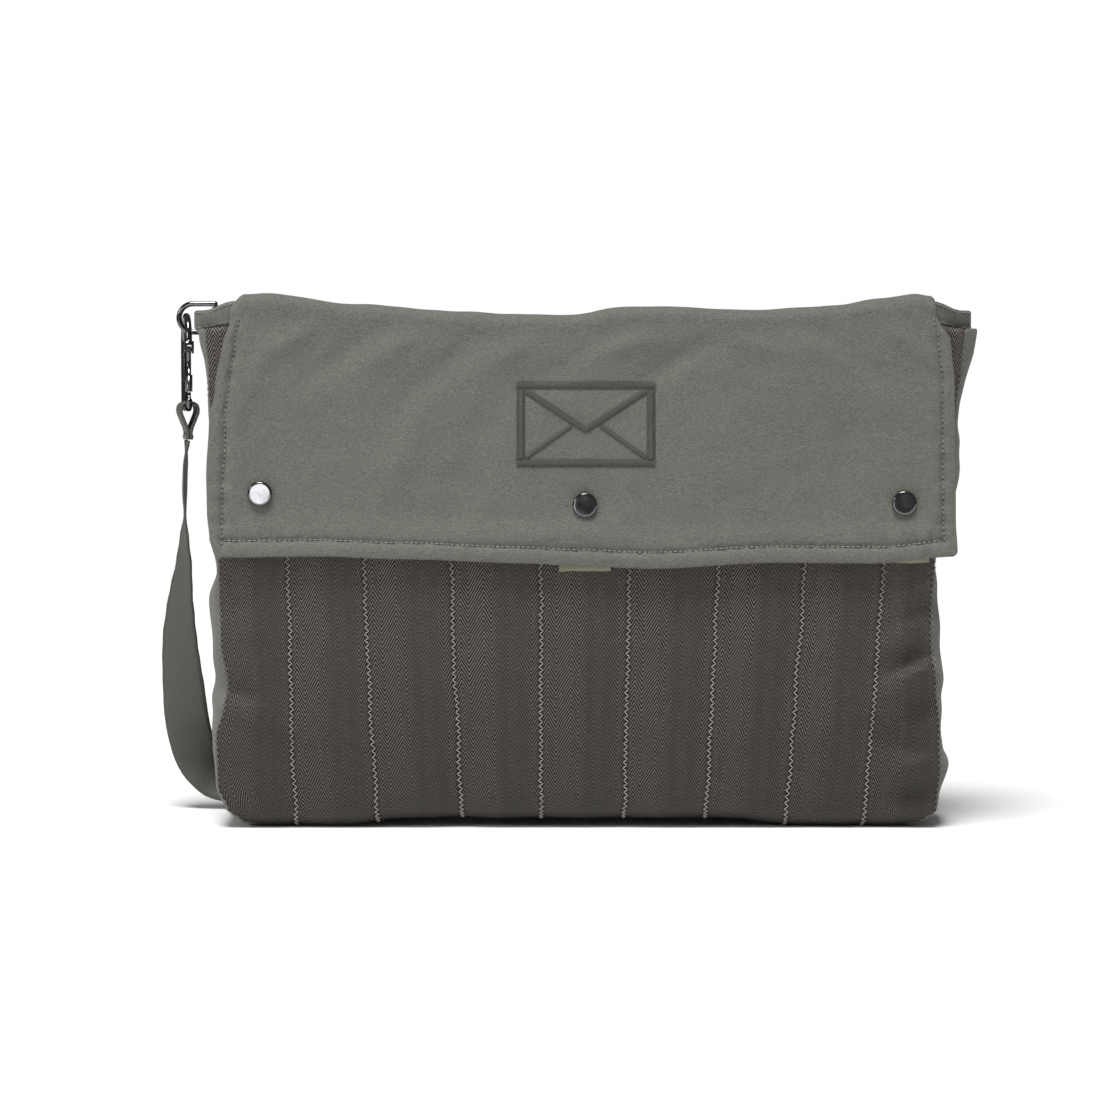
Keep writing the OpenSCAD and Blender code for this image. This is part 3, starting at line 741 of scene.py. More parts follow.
def flap_cover_point(u, v, hem, inner=0.0):
    """A point of the flap's outside, from its seam on top to its lower edge."""
    top_l = TOP_SEAM_Y - FOLD_AXIS_Y - FOLD_R
    arc_l = math.pi / 2 * FOLD_R
    front_l = 126 * MM
    s = v * (top_l + arc_l + front_l)
    if s < top_l + arc_l:
        x = FLAP_TOP_HALF * (2 * u - 1)
        shift = top_line(x, TOP_SEAM_Y - min(s, top_l))
        wave = 0.8 * MM * ripple(x / (40 * MM), s / (30 * MM), 6.6)
        wave += 0.5 * MM * ripple(x / (13 * MM), 0.4, 2.2)
        if s < top_l:
            return Vector((x, TOP_SEAM_Y - s, FOLD_Z - inner + shift + wave))
        turn = (s - top_l) / FOLD_R
        r = FOLD_R - inner
        return Vector((x, FOLD_AXIS_Y + FOLD_R - r * math.sin(turn),
                       FOLD_Z - FOLD_R + r * math.cos(turn) + shift + wave * (1 - turn / 1.58)))
    share = (s - top_l - arc_l) / front_l
    top_x = FLAP_TOP_HALF * (2 * u - 1)
    start = FOLD_Z - FOLD_R + top_line(top_x, FOLD_AXIS_Y)
    z = start + (flap_low(FLAP_HALF * (2 * u - 1)) - start) * share
    z_edge = clamp(z, 0.14, 0.286)
    x = flap_edge(-1, z_edge) + (flap_edge(1, z_edge) - flap_edge(-1, z_edge)) * u
    fade = smooth(share / 0.12)
    x = top_x + (x - top_x) * fade
    spot = flap_front(x, z, hem)
    return Vector((spot.x, FOLD_AXIS_Y + (spot.y - FOLD_AXIS_Y) * fade + inner, spot.z))


def make_flap(looks):
    hem = looks.hem
    cover = in_scene(
        "flap_cover",
        cloth_mesh("flap_cover", 140, 80,
                   lambda u, v: flap_cover_point(stepped(FLAP_COLUMNS, u), stepped(FLAP_ROWS, v), hem),
                   lambda u, v: (0.396 * stepped(FLAP_COLUMNS, u), 0.187 * stepped(FLAP_ROWS, v)),
                   FLAP_CORE),
        finish("flap cloth"), thick(FLAP_T), rounded())
    goes(cover, None, "flap_cloth", "flap_top_shell", "flap_front_shell")
    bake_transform(cover)

    def inside(u, v):
        down = 0.02 + 0.93 * v
        spare = 0.3 + 0.7 * smooth((down - 0.26) / 0.06) * (1 - smooth((down - 0.5) / 0.2))
        return flap_cover_point(0.03 + 0.94 * u, down, hem, FLAP_T + spare * MM)

    lining = sewn("flap_lining", 90, 48, inside, (0.37, 0.17), "lining cloth", thick(0.4 * MM),
                  away_from=FLAP_CORE)
    goes(lining, None, "lining", "flap_top_lining", "flap_front_lining")
    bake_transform(lining)

    for name, body, start, end in (("flap_top_pad", "flap_top", 0.05, 0.2),
                                   ("flap_front_pad", "flap_front", 0.32, 0.93)):
        def pad_point(u, v, start=start, end=end):
            return flap_cover_point(0.04 + 0.92 * u, start + (end - start) * v, hem, 1.6 * MM)

        pad = sewn(name, 60, 24, pad_point, (0.37, 0.12), "foam", thick(1.0 * MM), away_from=FLAP_CORE)
        goes(pad, body, "foam", name.replace("_pad", "_padding"))
    make_topstitch(looks)
    make_flap_back(looks)


def stitch_run(point_at, start, end, pitch):
    """Runs of one straight stitch each, between two places on a line."""
    count = max(1, round(abs(end - start) / pitch))
    runs = []
    for i in range(count):
        a = start + (end - start) * (i + 0.1) / count
        b = start + (end - start) * (i + 0.84) / count
        runs.append([point_at(a, -0.35 * MM), point_at(a + (b - a) * 0.25, 0.12 * MM),
                     point_at(a + (b - a) * 0.75, 0.12 * MM), point_at(b, -0.35 * MM)])
    return runs


def needle_hole_shade(point_at, start, end, pitch):
    """Painted shade: dark thread laid in the pinched gaps between the stitches of the same line."""
    count = max(1, round(abs(end - start) / pitch))
    step = (end - start) / count
    return [[point_at(start + step * (i + 0.88), 0.02 * MM), point_at(start + step * (i + 1.06), 0.02 * MM)]
            for i in range(count)]


def make_topstitch(looks):
    hem = looks.hem
    low_z = 146 * MM + hem

    def side_spot(side):
        return lambda z, up: flap_front(flap_edge(side, z) - side * side_hem(side, z), z, hem, up + 0.3 * MM)

    def low_spot(x, up):
        return flap_front(x, flap_low(x) + hem, hem, up + 0.3 * MM)

    top = FOLD_Z - FOLD_R
    runs = stitch_run(side_spot(-1), top, low_z - 2 * MM, looks.stitch)
    runs += stitch_run(side_spot(1), top, low_z, looks.stitch)
    runs += stitch_run(low_spot, -192.5 * MM, 191 * MM, looks.stitch)
    # Dark thread as painted shade in the needle holes between the stitches
    hole_shade_runs = needle_hole_shade(side_spot(-1), top, low_z - 2 * MM, looks.stitch)
    hole_shade_runs += needle_hole_shade(side_spot(1), top, low_z, looks.stitch)
    hole_shade_runs += needle_hole_shade(low_spot, -192.5 * MM, 191 * MM, looks.stitch)
    for name, lines, radius, kind in (("flap_topstitch", runs, 0.3 * MM, "topstitch thread"),
                                      ("flap_stitch_shade", hole_shade_runs, 0.42 * MM, "stitch shade thread")):
        stitches = thread(name, lines, radius, finish(kind))
        goes(stitches, None, "flap_cloth")
        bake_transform(stitches)


BACK_LOW_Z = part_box("flap_anchor")[0].z
BACK_HALF = 187 * MM
LIFT_RISE = FOLD_Z - FOLD_R - BACK_LOW_Z
LIFT_TURN = math.pi / 2 * FOLD_R
LIFT_TOP = LIFT_Y - FOLD_R - 4 * MM


def back_piece_point(u, v):
    """A point of the flap's back strip, from its sewn end up and over to the seam."""
    s = v * (LIFT_RISE + LIFT_TURN + LIFT_TOP)
    x = BACK_HALF * (2 * u - 1)
    shift = top_line(x, LIFT_Y)
    if s < LIFT_RISE:
        z = BACK_LOW_Z + s
        bare = half_depth(z) + 2.6 * MM
        y = bare + (LIFT_Y - bare) * smooth((z - 252 * MM) / (20 * MM))
        wave = 0.5 * MM * ripple(x / (30 * MM), z / (20 * MM), 4.4)
        return Vector((x, y + wave, z + shift * smooth((z - 240 * MM) / (30 * MM))))
    if s < LIFT_RISE + LIFT_TURN:
        turn = (s - LIFT_RISE) / FOLD_R
        return Vector((x, LIFT_Y - FOLD_R + FOLD_R * math.cos(turn),
                       FOLD_Z - FOLD_R + FOLD_R * math.sin(turn) + shift))
    over = s - LIFT_RISE - LIFT_TURN
    tuck = 3.4 * MM * smooth((over - 6 * MM) / (8 * MM))
    return Vector((x, LIFT_Y - FOLD_R - over, FOLD_Z + shift - tuck))


def make_flap_back(looks):
    back = sewn("flap_back", 110, 30, back_piece_point, (2 * BACK_HALF, 0.074), "flap cloth",
                thick(2.2 * MM), rounded(), away_from=(0, 0, 0.24))
    goes(back, None, "flap_cloth", "flap_anchor")
    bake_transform(back)
    runs = []
    for z in (BACK_LOW_Z + 4 * MM, BACK_LOW_Z + 14 * MM):
        share = (z - BACK_LOW_Z) / (LIFT_RISE + LIFT_TURN + LIFT_TOP)

        def row_point(x, up, at=share):
            return back_piece_point((x / BACK_HALF + 1) / 2, at) + Vector((0, up + 0.1 * MM, 0))

        runs += stitch_run(row_point, 4 * MM - BACK_HALF, BACK_HALF - 4 * MM, looks.stitch)
    goes(thread("flap_back_stitches", runs, 0.3 * MM, finish("topstitch thread")), "root", "flap_cloth")


# The sewn badge: a plain envelope

BADGE_X, BADGE_Z = 1.5 * MM, 217 * MM
BADGE_W, BADGE_H = 74 * MM, 46 * MM


def satin(start, end, width, hem, pitch=0.42 * MM):
    """Satin stitches across a bar from one (x, z) place to another."""
    a, b = Vector(start), Vector(end)
    way = (b - a).normalized()
    side = Vector((-way.y, way.x))
    count = int((b - a).length / pitch)
    runs = []
    for i in range(count):
        middle = a + way * pitch * (i + 0.5)
        lean = way * pitch * 0.7 * (1 if i % 2 else -1)
        row = []
        for k in range(5):
            t = k / 2 - 1
            spot = middle + side * (t * width / 2) + lean * t
            rise = 0.75 * MM * (1 - t * t) + 0.02 * MM
            row.append(flap_front(spot.x, spot.y, hem, rise))
        runs.append(row)
    return runs


def make_badge(looks):
    w, h, bar = BADGE_W / 2, BADGE_H / 2, 4.6 * MM
    inset = bar / 2
    right, top = w - inset, h - inset
    corners = [(-right, -top), (right, -top), (right, top), (-right, top)]
    at = lambda p: (BADGE_X + p[0], BADGE_Z + p[1])
    runs = []
    for i, (p, q) in enumerate(zip(corners, corners[1:] + corners[:1])):
        trim = inset if i % 2 == 0 else -inset
        d = (Vector(q) - Vector(p)).normalized() * trim
        runs += satin(at(Vector(p) - d), at(Vector(q) + d), bar, looks.hem)
    fold = (0, -3 * MM)
    runs += satin(at((-w + bar + 0.6 * MM, h - bar - 0.8 * MM)), at(fold), 3.8 * MM, looks.hem)
    runs += satin(at(fold), at((w - bar - 0.6 * MM, h - bar - 0.8 * MM)), 3.8 * MM, looks.hem)
    runs += satin(at((-w + bar + 0.6 * MM, -h + bar + 0.8 * MM)), at((-8 * MM, -1 * MM)), 2.4 * MM, looks.hem)
    runs += satin(at((8 * MM, -1 * MM)), at((w - bar - 0.6 * MM, -h + bar + 0.8 * MM)), 2.4 * MM, looks.hem)
    goes(thread("envelope_badge", runs, 0.26 * MM, finish("badge thread")), "flap_front", "flap_cloth")


# Snaps


def spun(name, outline, centre, material, steps=48):
    """A round piece turned from (radius, height) points; its axis points to -Y."""
    turned = bmesh.new()
    chain = [turned.verts.new((r, 0, h)) for r, h in outline]
    edges = [turned.edges.new(pair) for pair in zip(chain, chain[1:])]
    bmesh.ops.spin(turned, geom=chain + edges, axis=(0, 0, 1), cent=(0, 0, 0), steps=steps,
                   angle=2 * math.pi, use_merge=True)
    bmesh.ops.remove_doubles(turned, verts=turned.verts, dist=0.001 * MM)
    bmesh.ops.recalc_face_normals(turned, faces=turned.faces)
    place = Matrix.Translation(centre) @ Matrix.Rotation(math.pi / 2, 4, "X")
    bmesh.ops.transform(turned, matrix=place, verts=turned.verts)
    for face in turned.faces:
        face.smooth = True
    mesh = bpy.data.meshes.new(name)
    turned.to_mesh(mesh)
    turned.free()
    mesh.set_sharp_from_angle(angle=math.radians(50))
    return in_scene(name, mesh, material)


def make_snaps():
    dome = [(0, 1.95), (2.0, 1.948), (4.0, 1.942), (5.3, 1.936), (5.75, 1.92), (6.0, 1.84), (6.25, 1.66),
            (6.45, 1.35), (6.58, 1.0), (6.6, 0.6), (6.5, 0.3), (6.2, 0.1), (5.6, 0), (0, 0)]
    for name, middle in SNAPS:
        face_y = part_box(f"{name}_snap_cap")[1].y
        centre = Vector((middle.x, face_y, middle.z))
        cap = spun(f"{name}_cap_dome", [(r * MM, h * MM) for r, h in dome], centre, finish("black nickel"))
        goes(cap, "flap_front", "black_nickel", f"{name}_snap_cap")
        for part, body in (("post", "flap_front"), ("socket", "flap_front"), ("stud", "root")):
            polished(f"{name}_snap_{part}", body, finish("black nickel"))
        low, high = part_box(f"{name}_stud_tab")

        def tab_point(u, v, low=low, high=high):
            x = low.x + (high.x - low.x) * u
            z = high.z + (low.z - high.z) * v
            bow = 0.5 * MM * math.sin(math.pi * u) * v
            return Vector((x, -(half_depth(z) + 1.7 * MM) - bow, z + 0.6 * MM * ripple(x / (9 * MM), 0, 5)))

        tab = sewn(f"{name}_stud_tape", 14, 20, tab_point, (0.028, 0.05), "stud tape", thick(1.2 * MM),
                   away_from=(0, 0, 0.15))
        goes(tab, "root", "stud_tape", f"{name}_stud_tab")


# Body


def make_strips(looks):
    for i in range(9):
        def strip_point(u, v, i=i):
            s = SECTION_L * v
            z = section(s)[1]
            left, right = seam_x(i, z), seam_x(i + 1, z)
            x = left + (right - left) * u
            swell = looks.puff * (math.sin(math.pi * clamp(u, 0.001, 0.999)) ** 0.55) - 0.5 * looks.puff
            swell *= smooth((TOP_Z - z) / (30 * MM))
            return body_point(x, s, swell)

        name = f"webbing_{i + 1}"
        mesh = cloth_mesh(name, 16, 150, strip_point,
                          lambda u, v, i=i: (i + clamp(u, 0.004, 0.996), SECTION_L * v), BODY_CORE)
        strip = in_scene(name, mesh, finish("body webbing"), thick(1.5 * MM))
        goes(strip, "root", "body_webbing", f"webbing_strip_{i + 1}")


def make_zigzags(looks):
    count = int(SECTION_L / looks.zig_pitch)
    for i in range(1, 9):
        row = []
        for k in range(2 * count + 1):
            s = clamp(SECTION_L * k / (2 * count), 1 * MM, SECTION_L - 1 * MM)
            z = section(s)[1]
            swing = looks.zig_width / 2 * (1 if k % 2 else -1) * (1 + 0.25 * ripple(k * 0.7, i, 2.2))
            row.append(body_point(seam_x(i, z) + swing, s, 0.1 * MM))
            mid = clamp(SECTION_L * (k + 0.5) / (2 * count), 1 * MM, SECTION_L - 1 * MM)
            if k < 2 * count:
                row.append(body_point(seam_x(i, section(mid)[1]), mid, 0.4 * MM))
        goes(thread(f"zigzag_seam_{i}", [row], 0.29 * MM, finish("seam thread")), "root", "body_webbing")


def side_path(side, t):
    """A point (x, z) down a side panel's middle, and the outward normal.

    t runs from 0 at the mouth to 1 where the panel ends under the base.
    """
    r = 18 * MM
    wall = TOP_Z - r
    bend = math.pi / 2 * r
    s = t * (wall + bend)
    z = TOP_Z - s if s < wall else r - r * math.sin((s - wall) / r)
    z = max(z, 0.2 * MM)
    x = edge_x(side, z)
    turn = clamp((s - wall) / bend) * math.pi / 2
    return x, z, Vector((side * math.cos(turn), -math.sin(turn)))


def skin_y(x, z, front):
    """Where the webbing's face lies in depth, at a place across and a height."""
    s = TOP_Z - z if z >= BASE_R else WALL_L + BASE_R * math.asin(clamp(1 - z / BASE_R))
    return body_point(x, s if front else SECTION_L - s, -0.5 * MM).y


def gusset_point(side, u, v):
    x, z, out = side_path(side, v)
    bulge = along(LEFT_BULGE if side < 0 else RIGHT_BULGE, z / MM) * MM
    arch = math.sin(math.pi * clamp(u, 0.0, 1.0)) ** 0.5
    fold = 1.6 * MM * ripple(z / (26 * MM), u * 2.2, 5.5 * side) * arch
    pinch = -5 * MM * bell(u - 0.5, 0.16) * smooth((z - 215 * MM) / (50 * MM))
    push = bulge * arch + fold + pinch + 0.3 * MM
    near, far = skin_y(x, z, True) + 0.3 * MM, skin_y(x, z, False) - 0.3 * MM
    y = near + (far - near) * u
    return Vector((x + out.x * push, y, max(z + out.y * push, 0.3 * MM) + rim_shift(x, y, z)))


def make_gussets():
    for side, name in ((-1, "left"), (1, "right")):
        panel = sewn(f"{name}_side_panel", 28, 84, lambda u, v: gusset_point(side, u, v), (0.066, 0.28),
                     "flap cloth", thick(1.4 * MM), rounded(), away_from=BODY_CORE)
        goes(panel, "root", "flap_cloth", f"{name}_gusset")
        runs = []
        for edge in (0, 1):
            row = []
            for k in range(170):
                x, z, _ = side_path(side, clamp(k / 169, 0.005, 0.99))
                y = skin_y(x, z, edge == 0) + (-0.15 if edge == 0 else 0.15) * MM
                swing = 1.0 * MM * (1 if k % 2 else -1)
                row.append(Vector((x + side * (0.2 * MM + swing), y, z + rim_shift(x, y, z))))
            runs.append(row)
        goes(thread(f"{name}_side_seam", runs, 0.25 * MM, finish("topstitch thread")), "root", "flap_cloth")


def rounded_plan(turn, half_x, half_y, square=9.0):
    """A point of a rounded oblong in plan, at a turn in radians."""
    c, s = math.cos(turn), math.sin(turn)
    power = 2 / square
    return (half_x * math.copysign(abs(c) ** power, c), half_y * math.copysign(abs(s) ** power, s))


def hem_plan(u):
    """The mouth's plan: a long oblong walked at an even pace, as (x, y, outward)."""
    half_x, half_y, r = 208.5 * MM, 27.5 * MM, 7 * MM
    long_side, short_side, corner = 2 * (half_x - r), 2 * (half_y - r), math.pi / 2 * r
    parts = [long_side, corner, short_side, corner] * 2
    s = (u % 1.0) * sum(parts)
    in_x, in_y = half_x - r, half_y - r
    spots = [((-in_x, -half_y), (1, 0)), ((in_x, -in_y), -90), ((half_x, -in_y), (0, 1)), ((in_x, in_y), 0),
             ((in_x, half_y), (-1, 0)), ((-in_x, in_y), 90), ((-half_x, in_y), (0, -1)),
             ((-in_x, -in_y), 180)]
    for length, (start, way) in zip(parts, spots):
        if s <= length:
            break
        s -= length
    if isinstance(way, tuple):
        return start[0] + way[0] * s, start[1] + way[1] * s, Vector((way[1], -way[0]))
    turn = math.radians(way) + s / r
    out = Vector((math.cos(turn), math.sin(turn)))
    return start[0] + r * math.cos(turn), start[1] + r * math.sin(turn), out


def hem_point(u, v):
    """A point of the hem round the mouth; v goes round its section."""
    x, y, out = hem_plan(u)
    ear = smooth((abs(x) - 186 * MM) / (18 * MM))
    tall = 12.5 * MM * (1 - 0.16 * ear)
    wide = 3.4 * MM
    a = 2 * math.pi * v
    section_x = wide / 2 * math.copysign(abs(math.cos(a)) ** 0.6, math.cos(a))
    section_z = tall / 2 * math.copysign(abs(math.sin(a)) ** 0.4, math.sin(a))
    pinch = 1 - 0.55 * ear * smooth((abs(x) - 186 * MM) / (20 * MM))
    middle_z = RIM_Z - 5.6 * MM + rim_shift(clamp(x, -RIM_HALF, RIM_HALF), y, RIM_Z) * (1 - 0.6 * ear)
    middle_z += (-0.4 if x < 0 else -0.6) * MM * ear + 0.5 * MM * ripple(x / (26 * MM), y / (26 * MM), 3.3)
    return Vector((x + out.x * section_x, y * pinch + out.y * section_x, middle_z + section_z))


def make_mouth(looks):
    hem = sewn("mouth_hem", 260, 14, hem_point, (0.9, 0.03), "flap cloth", closed=True)
    goes(hem, "root", "flap_cloth", "mouth_binding")
    runs = []
    for v in (0.08, 0.92):
        count = int(0.87 / looks.stitch)
        for k in range(count):
            a, b = (k + 0.1) / count, (k + 0.85) / count
            third = (b - a) / 3
            runs.append([hem_point(at, v) + outward(at, 0.1 * MM) for at in (a, a + third, b - third, b)])
    goes(thread("mouth_stitches", runs, 0.28 * MM, finish("topstitch thread")), "root", "flap_cloth")

    lining_z = 5.2 * MM
    wall_share = 0.86

    def bag_point(u, v):
        turn = 2 * math.pi * u
        depth = clamp(v / wall_share)
        z = TOP_Z + 6 * MM + (lining_z - TOP_Z - 6 * MM) * depth
        inset = 6 * MM + 12 * MM * smooth((20 * MM - z) / (16 * MM))
        shrink = 1 - clamp((v - wall_share) / (1 - wall_share))
        x, y = rounded_plan(turn, edge_x(1, z) - 3 * MM, max(half_depth(z) - inset, 4 * MM), 7)
        wrinkle = 0.8 * MM * ripple(x / (30 * MM), z / (40 * MM), 8.8 if y > 0 else 2.6)
        narrow = max(shrink, 0.0005)
        return Vector((x * narrow - 1 * MM, y * narrow - math.copysign(wrinkle, y) * shrink,
                       z + rim_shift(clamp(x, -0.19, 0.19), y, z)))

    lining = sewn("bag_lining", 160, 60, bag_point, (0.86, 0.27), "lining cloth", thick(0.5 * MM, 0.0),
                  away_from=BODY_CORE, closed=True)
    goes(lining, "root", "lining", "body_lining")


def outward(u, far):
    """A shift away from the mouth's middle, level, at a place round the hem."""
    out = hem_plan(u)[2]
    return Vector((out.x * far, out.y * far, 0))


def make_pads():
    base_start = WALL_L + BEND_L + 1 * MM
    spans = (("front_pad", 10 * MM, WALL_L - 6 * MM, 187, "front_padding"),
             ("base_pad", base_start, SECTION_L - base_start, 172, "base_padding"),
             ("back_pad", SECTION_L - WALL_L + 6 * MM, SECTION_L - 10 * MM, 187, "back_padding"))
    for name, start, end, half, node in spans:
        def pad_point(u, v, start=start, end=end, half=half):
            x = (-half + 2 * half * u) * MM
            sunk = 2.2 * MM + 0.4 * MM * math.cos(8 * math.pi * u) ** 2
            return body_point(x, start + (end - start) * v, -sunk)

        pad = sewn(name, 72, 36, pad_point, (0.37, 0.24), "foam", thick(2.4 * MM), away_from=BODY_CORE)
        goes(pad, "root", "foam", node)


# Rings, hooks and strap

STRAP_W = 25 * MM
STRAP_T = 1.5 * MM
LOOP_END = 70 * MM
SPLIT_Z = 128 * MM
# The strap's route in metres: a point, then the way its width lies there
STRAP_ROUTE = [
    ((-0.2195, 0.033, 0.2075), (0.2, -1, 0)), ((-0.2205, 0.033, 0.194), (0.06, -1, 0)),
    ((-0.221, 0.033, 0.18), (0.06, -1, 0)), ((-0.221, 0.0335, 0.166), (0.12, -1, 0)),
    ((-0.2215, 0.034, 0.152), (0.28, -0.96, 0)), ((-0.222, 0.035, 0.138), (0.42, -0.9, 0)),
    ((-0.2235, 0.036, 0.124), (0.56, -0.83, 0)), ((-0.2245, 0.038, 0.11), (0.7, -0.72, 0)),
    ((-0.225, 0.04, 0.096), (0.82, -0.57, 0)), ((-0.2245, 0.042, 0.082), (0.9, -0.43, 0)),
    ((-0.2235, 0.044, 0.068), (0.97, -0.25, 0)), ((-0.2225, 0.046, 0.054), (1, -0.05, 0)),
    ((-0.2205, 0.0485, 0.041), (0.97, 0.15, 0.15)), ((-0.217, 0.051, 0.029), (0.85, 0.3, 0.4)),
    ((-0.21, 0.054, 0.018), (0.55, 0.6, 0.55)), ((-0.198, 0.057, 0.0095), (0.2, 0.88, 0.42)),
    ((-0.182, 0.059, 0.004), (0.05, 0.98, 0.18)), ((-0.162, 0.06, 0.0016), (0, 1, 0.02)),
    ((-0.11, 0.06, 0.0012), (0, 1, 0)), ((-0.06, 0.06, 0.0012), (0, 1, 0)),
    ((-0.01, 0.06, 0.0012), (0, 1, 0)), ((0.03, 0.06, 0.0016), (0, 1, 0.03)),
    ((0.065, 0.06, 0.0072), (0, 0.87, 0.5)), ((0.092, 0.06, 0.0122), (0, 0.4, 0.9)),
    ((0.11, 0.06, 0.0134), (0, 0, 1)), ((0.121, 0.0615, 0.0134), (0, 0, 1)),
    ((0.13, 0.0675, 0.0134), (0, 0, 1)), ((0.1335, 0.076, 0.0134), (0, 0, 1)),
    ((0.1295, 0.0845, 0.0134), (0, 0, 1)), ((0.1205, 0.0895, 0.0134), (0, 0, 1)),
    ((0.108, 0.0905, 0.0134), (0, 0, 1)), ((0.06, 0.0905, 0.0134), (0, 0, 1)),
    ((-0.01, 0.0905, 0.0134), (0, 0, 1)), ((-0.08, 0.0905, 0.0134), (0, 0, 1)),
    ((-0.128, 0.0905, 0.0134), (0, 0, 1)), ((-0.141, 0.092, 0.0134), (0, 0, 1)),
    ((-0.1495, 0.097, 0.0134), (0, 0, 1)), ((-0.1525, 0.104, 0.0134), (0, 0, 1)),
    ((-0.1485, 0.1115, 0.0134), (0, 0, 1)), ((-0.1395, 0.116, 0.0134), (0, 0, 1)),
    ((-0.127, 0.117, 0.0134), (0, 0, 1)), ((-0.08, 0.117, 0.0134), (0, 0, 1)),
    ((-0.01, 0.117, 0.0134), (0, 0, 1)), ((0.06, 0.117, 0.0134), (0, 0, 1)),
    ((0.108, 0.117, 0.0134), (0, 0, 1)), ((0.132, 0.115, 0.0134), (0, 0, 1)),
    ((0.152, 0.1075, 0.013), (0.25, 0.2, 0.95)), ((0.166, 0.095, 0.0112), (0.5, 0.3, 0.8)),
    ((0.174, 0.081, 0.0075), (0.85, 0.1, 0.5)), ((0.177, 0.069, 0.0032), (1, 0, 0.12)),
    ((0.177, 0.0605, 0.0045), (1, 0, 0)), ((0.177, 0.0548, 0.012), (1, 0, 0)),
    ((0.177, 0.0528, 0.024), (1, 0, 0)), ((0.177, 0.0524, 0.04), (1, 0, 0)),
    ((0.177, 0.0524, 0.06), (1, 0, 0)), ((0.177, 0.0524, 0.11), (1, 0, 0)),
    ((0.177, 0.0524, 0.128), (1, 0, 0))]


def curve_walk(points, gap):
    """Even steps along a smooth curve through points: (place, width's way) pairs."""
    spots = []
    last = len(points) - 1
    for i in range(last):
        p0, p1, p2, p3 = (Vector(points[k][0]) for k in (max(i - 1, 0), i, i + 1, min(i + 2, last)))
        w1, w2 = Vector(points[i][1]).normalized(), Vector(points[i + 1][1]).normalized()
        steps = max(1, math.ceil((p2 - p1).length / gap))
        for k in range(steps):
            t = k / steps
            place = 0.5 * (2 * p1 + (p2 - p0) * t + (2 * p0 - 5 * p1 + 4 * p2 - p3) * t ** 2
                           + (3 * p1 - p0 - 3 * p2 + p3) * t ** 3)
            spots.append((place, w1.lerp(w2, smooth(t)).normalized()))
    spots.append((Vector(points[last][0]), Vector(points[last][1]).normalized()))
    return spots


def ribbon(name, spots, width, material, thickness=STRAP_T, columns=8, curl=0.0):
    """Webbing along a walk of (place, width's way) pairs."""
    count = len(spots) - 1
    lengths = [0.0]
    frames = []
    for i, (place, lean) in enumerate(spots):
        way = (spots[min(i + 1, count)][0] - spots[max(i - 1, 0)][0]).normalized()
        across = (lean - lean.dot(way) * way).normalized()
        frames.append((place, across, across.cross(way)))
        if i:
            lengths.append(lengths[-1] + (place - spots[i - 1][0]).length)

    def place_at(u, v):
        place, across, out = frames[round(v * count)]
        t = 2 * u - 1
        return place + across * (t * width / 2) + out * curl * (t * t - 0.5)

    mesh = cloth_mesh(name, columns, count, place_at, lambda u, v: (width * u, lengths[round(v * count)]))
    return in_scene(name, mesh, material, thick(thickness, 0.0))


def hook_origin(side):
    low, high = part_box(f"{side}_hook")
    turn = math.radians(-78) if side == "left" else 0.0
    x = (low.x + high.x) / 2 if side == "left" else 0.177
    return Vector((x, (low.y + high.y) / 2, high.z)), turn


def make_strap():
    walk = curve_walk(STRAP_ROUTE, 4 * MM)
    strap = ribbon("strap", walk, STRAP_W - 0.4 * MM, finish("strap webbing"), curl=0.15 * MM)
    goes(strap, None, "strap_webbing", "shoulder_strap")
    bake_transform(strap)

    right_x, right_y = STRAP_ROUTE[-1][0][0], STRAP_ROUTE[-1][0][1]
    top_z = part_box("right_hook")[1].z - LOOP_END - 0.5 * MM
    near_y = right_y - STRAP_T - 0.3 * MM

    def spot(y, z):
        return (right_x, y, z), (1, 0, 0)

    for y, name in ((right_y, "strap_upper"), (near_y, "strap_upper_return")):
        path = [spot(y, SPLIT_Z + (top_z - SPLIT_Z) * k / 5) for k in range(6)]
        upper = ribbon(name, curve_walk(path, 6 * MM), STRAP_W - 0.4 * MM, finish("strap webbing"))
        goes(upper, None, "strap_webbing")
        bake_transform(upper)

    slider = polished("strap_slider", "strap_slider", finish("black nickel"))
    bar_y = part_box("strap_return")[0].y + 2.9 * MM
    slider_z = 85 * MM
    wrap_r = near_y - bar_y
    wrap = [spot(near_y, slider_z + 9 * MM), spot(near_y, slider_z + 4 * MM)]
    for k in range(9):
        turn = math.pi * k / 8
        wrap.append(spot(bar_y + wrap_r * math.cos(turn), slider_z - wrap_r * math.sin(turn)))
    wrap += [spot(bar_y - wrap_r, slider_z + 4 * MM), spot(near_y - 1.7 * MM, slider_z + 9 * MM)]
    end = ribbon("strap_end", curve_walk(wrap, 1.2 * MM), STRAP_W - 0.6 * MM, finish("strap webbing"))
    goes(end, "strap_slider", "strap_webbing")
    path = [spot(near_y, slider_z + 9 * MM), spot(near_y, 0.11), spot(near_y, SPLIT_Z)]
    lower = ribbon("strap_doubled", curve_walk(path, 6 * MM), STRAP_W - 0.5 * MM, finish("strap webbing"))
    goes(lower, "root", "strap_webbing", "strap_return")
    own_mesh(lower)

    loops = [make_strap_loop(side) for side in ("left", "right")]


